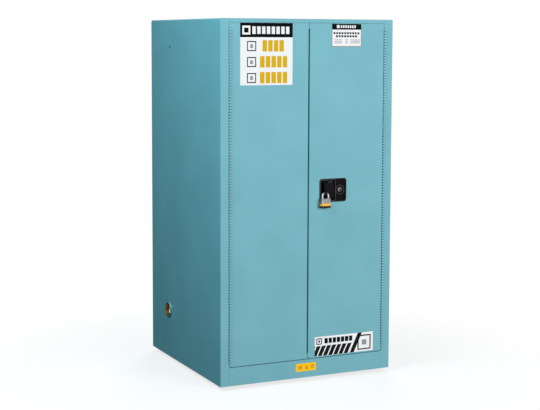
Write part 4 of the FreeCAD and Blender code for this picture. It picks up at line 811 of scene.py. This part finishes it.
# A thin dark disc, stretched to a bar, stands for the keyway slot: painted shade on the plug's face
KEYWAY_SHADE_PROFILE = ((0.0, 0.00008), (0.0011, 0.00008), (0.0013, 0.0), (0.0, 0.0))
slot = lathe("keyway_painted_shade", KEYWAY_SHADE_PROFILE, (KEYHOLE_X, FRONT - 0.0032, KEYHOLE_Z), (0, -1, 0), rubber,
             "key_plug", 16)
KEYWAY_STRETCH = 3.6
slot.data.transform(Matrix.Translation((0, 0, KEYHOLE_Z)) @ Matrix.Diagonal((1, 1, KEYWAY_STRETCH, 1))
                    @ Matrix.Translation((0, 0, -KEYHOLE_Z)))


# %% Raised lines round the bays
def rounded_path(left, right, low, high, corner, steps=6):
    """Points and outward directions round a rectangle: quarter circles at its four corners."""
    turn = np.linspace(0, math.pi / 2, steps)
    start = np.arange(4)[:, None] * math.pi / 2
    angle = (start + turn).ravel()
    centre_x = np.repeat([right - corner, left + corner, left + corner, right - corner], steps)
    centre_z = np.repeat([high - corner, high - corner, low + corner, low + corner], steps)
    out = np.stack((np.cos(angle), np.sin(angle)), axis=-1)
    return np.stack((centre_x, centre_z), axis=-1) + corner * out, out


def bead(name, path, out, radius, face, material, body, steps=8):
    """Half-round bead: path point + radius * (cos a * outward, and sin a * towards the front)."""
    angle = np.linspace(0, math.pi, steps)
    spread = radius * np.cos(angle)
    flat = path[:, None, :] + spread[None, :, None] * out[:, None, :]
    height = np.broadcast_to(face - radius * np.sin(angle), flat.shape[:2])
    points = np.stack((flat[..., 0], height, flat[..., 1]), axis=-1)
    return surface(name, points, material, body, ring=True, loop=True)


# The ribs' grey, lighter than the black housing, is a painted highlight
rib_moulding_painted_highlight = mottled("abs_rib_with_painted_highlight", 3.33, 2, ("#3A3D40", "#4A4E51"), (0.28, 0.32))
RIM_FACE, RING_RADIUS = FRONT - 0.0015, 0.0213
PADDLE_BAY = (0.0618, 0.1375, 0.8283, 0.9233)
HOUSING_RIM = (0.0575, 0.1931, 0.8240, 0.9276)
path, out = rounded_path(*PADDLE_BAY, 0.006)
bead("paddle_bay_rib", path, out, 0.0009, RIM_FACE, rib_moulding_painted_highlight, "right_door")
path, out = rounded_path(*HOUSING_RIM, 0.010)
bead("housing_rim_rib", path, out, 0.0008, RIM_FACE, rib_moulding_painted_highlight, "right_door")
turn = np.linspace(0, 2 * math.pi, 40, endpoint=False)
out = np.stack((np.cos(turn), np.sin(turn)), axis=-1)
ring = np.array((KEYHOLE_X, KEYHOLE_Z)) + RING_RADIUS * out
bead("cylinder_ring_rib", ring, out, 0.0009, FRONT - 0.001, rib_moulding_painted_highlight, "right_door")
print("three ribs")

# %% [markdown]
# ## Padlock ends
# The laminated body ends in a dark moulded cap, with the keyhole of the lock's own plug in its
# underside. Both are turned or swept shapes that ride on the padlock.

# %% Padlock cap and key plug
LOCK_MIDDLE, LOCK_LOW = np.array((0.080, FRONT - 0.0142)), 0.798
CAP_WIDE, CAP_DEEP, CAP_CORNER = 0.0247, 0.0111, 0.0068
path, out = rounded_path(-CAP_WIDE, CAP_WIDE, -CAP_DEEP, CAP_DEEP, CAP_CORNER)
heights = LOCK_LOW + np.array((0.0005, 0.0, 0.0, 0.0012, 0.0100, 0.0100))
inward = np.array((0.0105, 0.0016, 0.0004, 0.0, 0.0, 0.0012))
ring_points = path[None, :, :] - inward[:, None, None] * out[None, :, :]
levels = np.broadcast_to(heights[:, None, None], (len(heights), len(path), 1))
cap_points = np.concatenate((ring_points + LOCK_MIDDLE, levels), axis=-1)
surface("padlock_end_cap", cap_points, rubber, "padlock_body", loop=True)
lathe("padlock_key_plug", ((0.0, 0.0), (0.0052, 0.0), (0.0055, 0.0003), (0.0055, 0.002), (0.0, 0.002)),
      (*LOCK_MIDDLE, LOCK_LOW - 0.0003), (0, 0, 1), yellow_plate, "padlock_body")
print("padlock ends")

# %% [markdown]
# ## Threads
# A screw thread is a turned shape whose radius also follows the angle: the height less one pitch for
# each full turn, folded into a triangle wave, lifts the radius from the root to the crest. Feet and
# vent plugs carry threads, which show once they are screwed out.

# %% Threaded feet
def thread(name, head, tail, root, crest, low, high, pitch, centre, axis, material, body, steps=24):
    """Turned shape whose wall between the profiles head and tail is a helical thread.

    Radius = root + (crest - root) * triangle((height - pitch * angle / 2 pi) / pitch).
    """
    angle, spokes = spokes_about(axis, steps)
    height = np.linspace(low, high, int(round((high - low) / pitch * 6)) + 1)
    wave = np.abs((height[:, None] / pitch - angle / (2 * math.pi)) % 1 * 2 - 1)
    fade = np.clip(np.minimum(height - low, high - height) / pitch, 0, 1)[:, None]
    before, after = (np.repeat(np.array(profile, float)[:, :, None], steps, axis=2)
                     for profile in (head, tail))
    radius = np.concatenate((before[:, 0], root + (crest - root) * wave * fade, after[:, 0]))
    level = np.concatenate((before[:, 1, 0], height, after[:, 1, 0]))
    points = np.array(centre) + radius[:, :, None] * spokes + level[:, None, None] * np.array(axis, float)
    return surface(name, points, material, body)


FOOT_HEAD = ((0.0, 0.0), (0.018, 0.0), (0.019, 0.001), (0.019, 0.004), (0.009, 0.009), (0.009, 0.014))
FOOT_TAIL = ((0.0, 0.052),)
FOOT_X, FOOT_FRONT, FOOT_BACK = 0.342, -0.335, 0.349
for row, y in (("front", FOOT_FRONT), ("back", FOOT_BACK)):
    for side, x in (("left", -FOOT_X), ("right", FOOT_X)):
        spot = "foot_%s_%s" % (row, side)
        foot = thread("threaded_" + spot, FOOT_HEAD, FOOT_TAIL, 0.0043, 0.0050, 0.014, 0.052, 0.00175,
                      (x, y, 0.0), (0, 0, 1), zinc_plate, spot)
        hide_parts(spot)
print("four feet")

# %% Threaded vent plugs
PLUG_HEAD = ((0.0, 0.008), (0.025, 0.008), (0.027, 0.003), (0.031, 0.003), (0.0329, 0.005))
PLUG_TAIL = ((0.029, 0.020), (0.029, 0.012), (0.0, 0.012))
PLUG_SET, BOSS_SET, BOSS_HALF, BOSS_CORNER = 0.007, 0.0125, 0.010, 0.002
for name, sign, height in (("left", -1, VENT_LOW), ("right", 1, VENT_HIGH)):
    start = (sign * (HALF - PLUG_SET), VENT_BACK, height)
    plug = thread(name + "_plug_threaded", PLUG_HEAD, PLUG_TAIL, 0.0320, 0.0329, 0.005, 0.020, 0.003,
                  start, (-sign, 0, 0), yellow_plate, name + "_vent_plug", 48)
    boss_x = sign * (HALF - BOSS_SET)
    path, out = rounded_path(-BOSS_HALF, BOSS_HALF, -BOSS_HALF, BOSS_HALF, BOSS_CORNER)
    depth = np.array((-0.0035, -0.0035, -0.0030, 0.0055))
    inward = np.array((0.0095, 0.0008, 0.0, 0.0))
    ring_points = path[None, :, :] - inward[:, None, None] * out[None, :, :]
    across = np.broadcast_to((boss_x - sign * depth)[:, None, None], (4, len(path), 1))
    boss_points = np.concatenate((across, ring_points + (VENT_BACK, height)), axis=-1)
    surface(name + "_plug_wrench_square", boss_points, yellow_plate, name + "_vent_plug", loop=True)
    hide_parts(name + "_vent_plug")
print("two plugs")

# %% [markdown]
# ## Fastenings and small parts
# The latch is reached through a hole in the inner door sheet, closed by a screwed cover. Rivets hold
# the hinge leaves, welds join the back to the sides, and rubber studs take the blow of a closing
# door. All but the cover are turned shapes, one grid repeated at many places in one mesh.

# %% Access cover and its screws
COVER = (0.070, 0.210, 0.820, 0.950)
COVER_FACE, COVER_THICK, COVER_CORNER = FRONT + 0.0446, 0.0015, 0.008
path, out = rounded_path(*COVER, COVER_CORNER)
left, right, low, high = COVER
middle = np.array((left + right, low + high)) / 2
share = np.array((0.0, 1.0, 1.0, 1.0, 1.0, 0.0))[:, None, None]
inward = np.array((0.0, 0.0024, 0.0012, 0.0, 0.0, 0.0))[:, None, None]
flat = middle + share * (path - middle) - inward * out
depth = np.broadcast_to(COVER_FACE + np.array((COVER_THICK, COVER_THICK, 0.0014, 0.0006, 0.0, 0.0))[:, None],
                        flat.shape[:2])
surface("access_cover", np.stack((flat[..., 0], depth, flat[..., 1]), axis=-1), powder_coat, "right_door")
PAN_HEAD = ((0.0, 0.0008), (0.0011, 0.0008), (0.0014, 0.0019), (0.0026, 0.0017), (0.0036, 0.0009),
            (0.0038, 0.0), (0.0, 0.0))
corners = [(x, COVER_FACE + COVER_THICK, z) for x in (left + COVER_CORNER, right - COVER_CORNER)
           for z in (low + COVER_CORNER, high - COVER_CORNER)]
lathe("access_cover_screws", PAN_HEAD, (0, 0, 0), (0, 1, 0), zinc_plate, "right_door", 16, copies=corners)

# %% Rivets, welds and bumpers
RIVET_LOW, RIVET_STEP = 0.20, 0.15
RIVET = ((0.0, 0.0008), (0.0014, 0.0007), (0.0024, 0.0004), (0.0030, 0.0), (0.0, 0.0))
OPENING, DOOR_EDGE, LEAF, LEAF_ROW = 0.3907, 0.3857, 0.0014, FRONT + 0.016
rivet_heights = RIVET_LOW + RIVET_STEP * np.arange(10)
for sign, side_name in ((-1, "left"), (1, "right")):
    on_frame = [(sign * (OPENING - LEAF), LEAF_ROW, z) for z in rivet_heights]
    on_door = [(sign * (DOOR_EDGE + LEAF), LEAF_ROW, z + RIVET_STEP / 2) for z in rivet_heights[:-1]]
    lathe(side_name + "_frame_rivets", RIVET, (0, 0, 0), (-sign, 0, 0), powder_coat, "cabinet", 12,
          copies=on_frame)
    lathe(side_name + "_door_rivets", RIVET, (0, 0, 0), (sign, 0, 0), powder_coat, side_name + "_door", 12,
          copies=on_door)
WELD_X, WELD_LOW, WELD_STEP = 0.414, 0.07, 0.1256
WELD = ((0.0, 0.0001), (0.0030, 0.0002), (0.0040, 0.0006), (0.0050, 0.0), (0.0, 0.0))
welds = [(sign * WELD_X, BACK, z) for sign in (-1, 1) for z in WELD_LOW + WELD_STEP * np.arange(13)]
lathe("back_spot_welds", WELD, (0, 0, 0), (0, 1, 0), powder_coat, "cabinet", 16, copies=welds)
STOP_FACE, BUMPER_X = FRONT + 0.046, 0.3815
BUMPER = ((0.0, 0.0028), (0.0026, 0.0026), (0.0034, 0.0018), (0.0040, 0.0), (0.0, 0.0))
bumpers = [(sign * BUMPER_X, STOP_FACE, z) for sign in (-1, 1) for z in (0.30, 0.867, 1.43)]
lathe("door_stop_bumpers", BUMPER, (0, 0, 0), (0, -1, 0), rubber, "cabinet", 16, copies=bumpers)
HEX_NUT = ((0.00325, 0.0), (0.0056, 0.0), (0.0063, 0.0006), (0.0063, 0.0044), (0.0056, 0.005),
           (0.00325, 0.005))
lathe("ground_stud_nut", HEX_NUT, (0.3507, BACK, 0.079), (0, 1, 0), yellow_plate, "cabinet", 6, loop=True)
print("rivets, welds, bumpers and a nut")

# %% [markdown]
# The tray is blown from soft plastic and would sag under a drum, so ribs are moulded in its floor. A
# rib is half an ellipse across, (w cos a, h sin a), and both w and h shrink to nothing at its ends by
# the eighth root of 1 - u^8, which keeps it even in between and rounds it off.

# %% Tray ribs
TRAY_FLOOR, TRAY_MIDDLE, TRAY_REACH = 0.0655, 0.012, 0.32
RIB_WIDE, RIB_HIGH, RIB_LONG = 0.007, 0.004, 0.33
along = np.linspace(-1, 1, 25)
fade = (1 - along ** 8) ** 0.125
angle = np.linspace(0, math.pi, 9)
rib_points = np.stack((RIB_WIDE * fade[:, None] * np.cos(angle),
                       np.broadcast_to(along[:, None] * RIB_LONG, (25, 9)),
                       RIB_HIGH * fade[:, None] * np.sin(angle)), axis=-1)
places = [(x, TRAY_MIDDLE, TRAY_FLOOR) for x in np.linspace(-TRAY_REACH, TRAY_REACH, 9)]
surface("sump_tray_ribs", rib_points, polyethylene, "sump_tray", copies=places)
print("nine ribs")
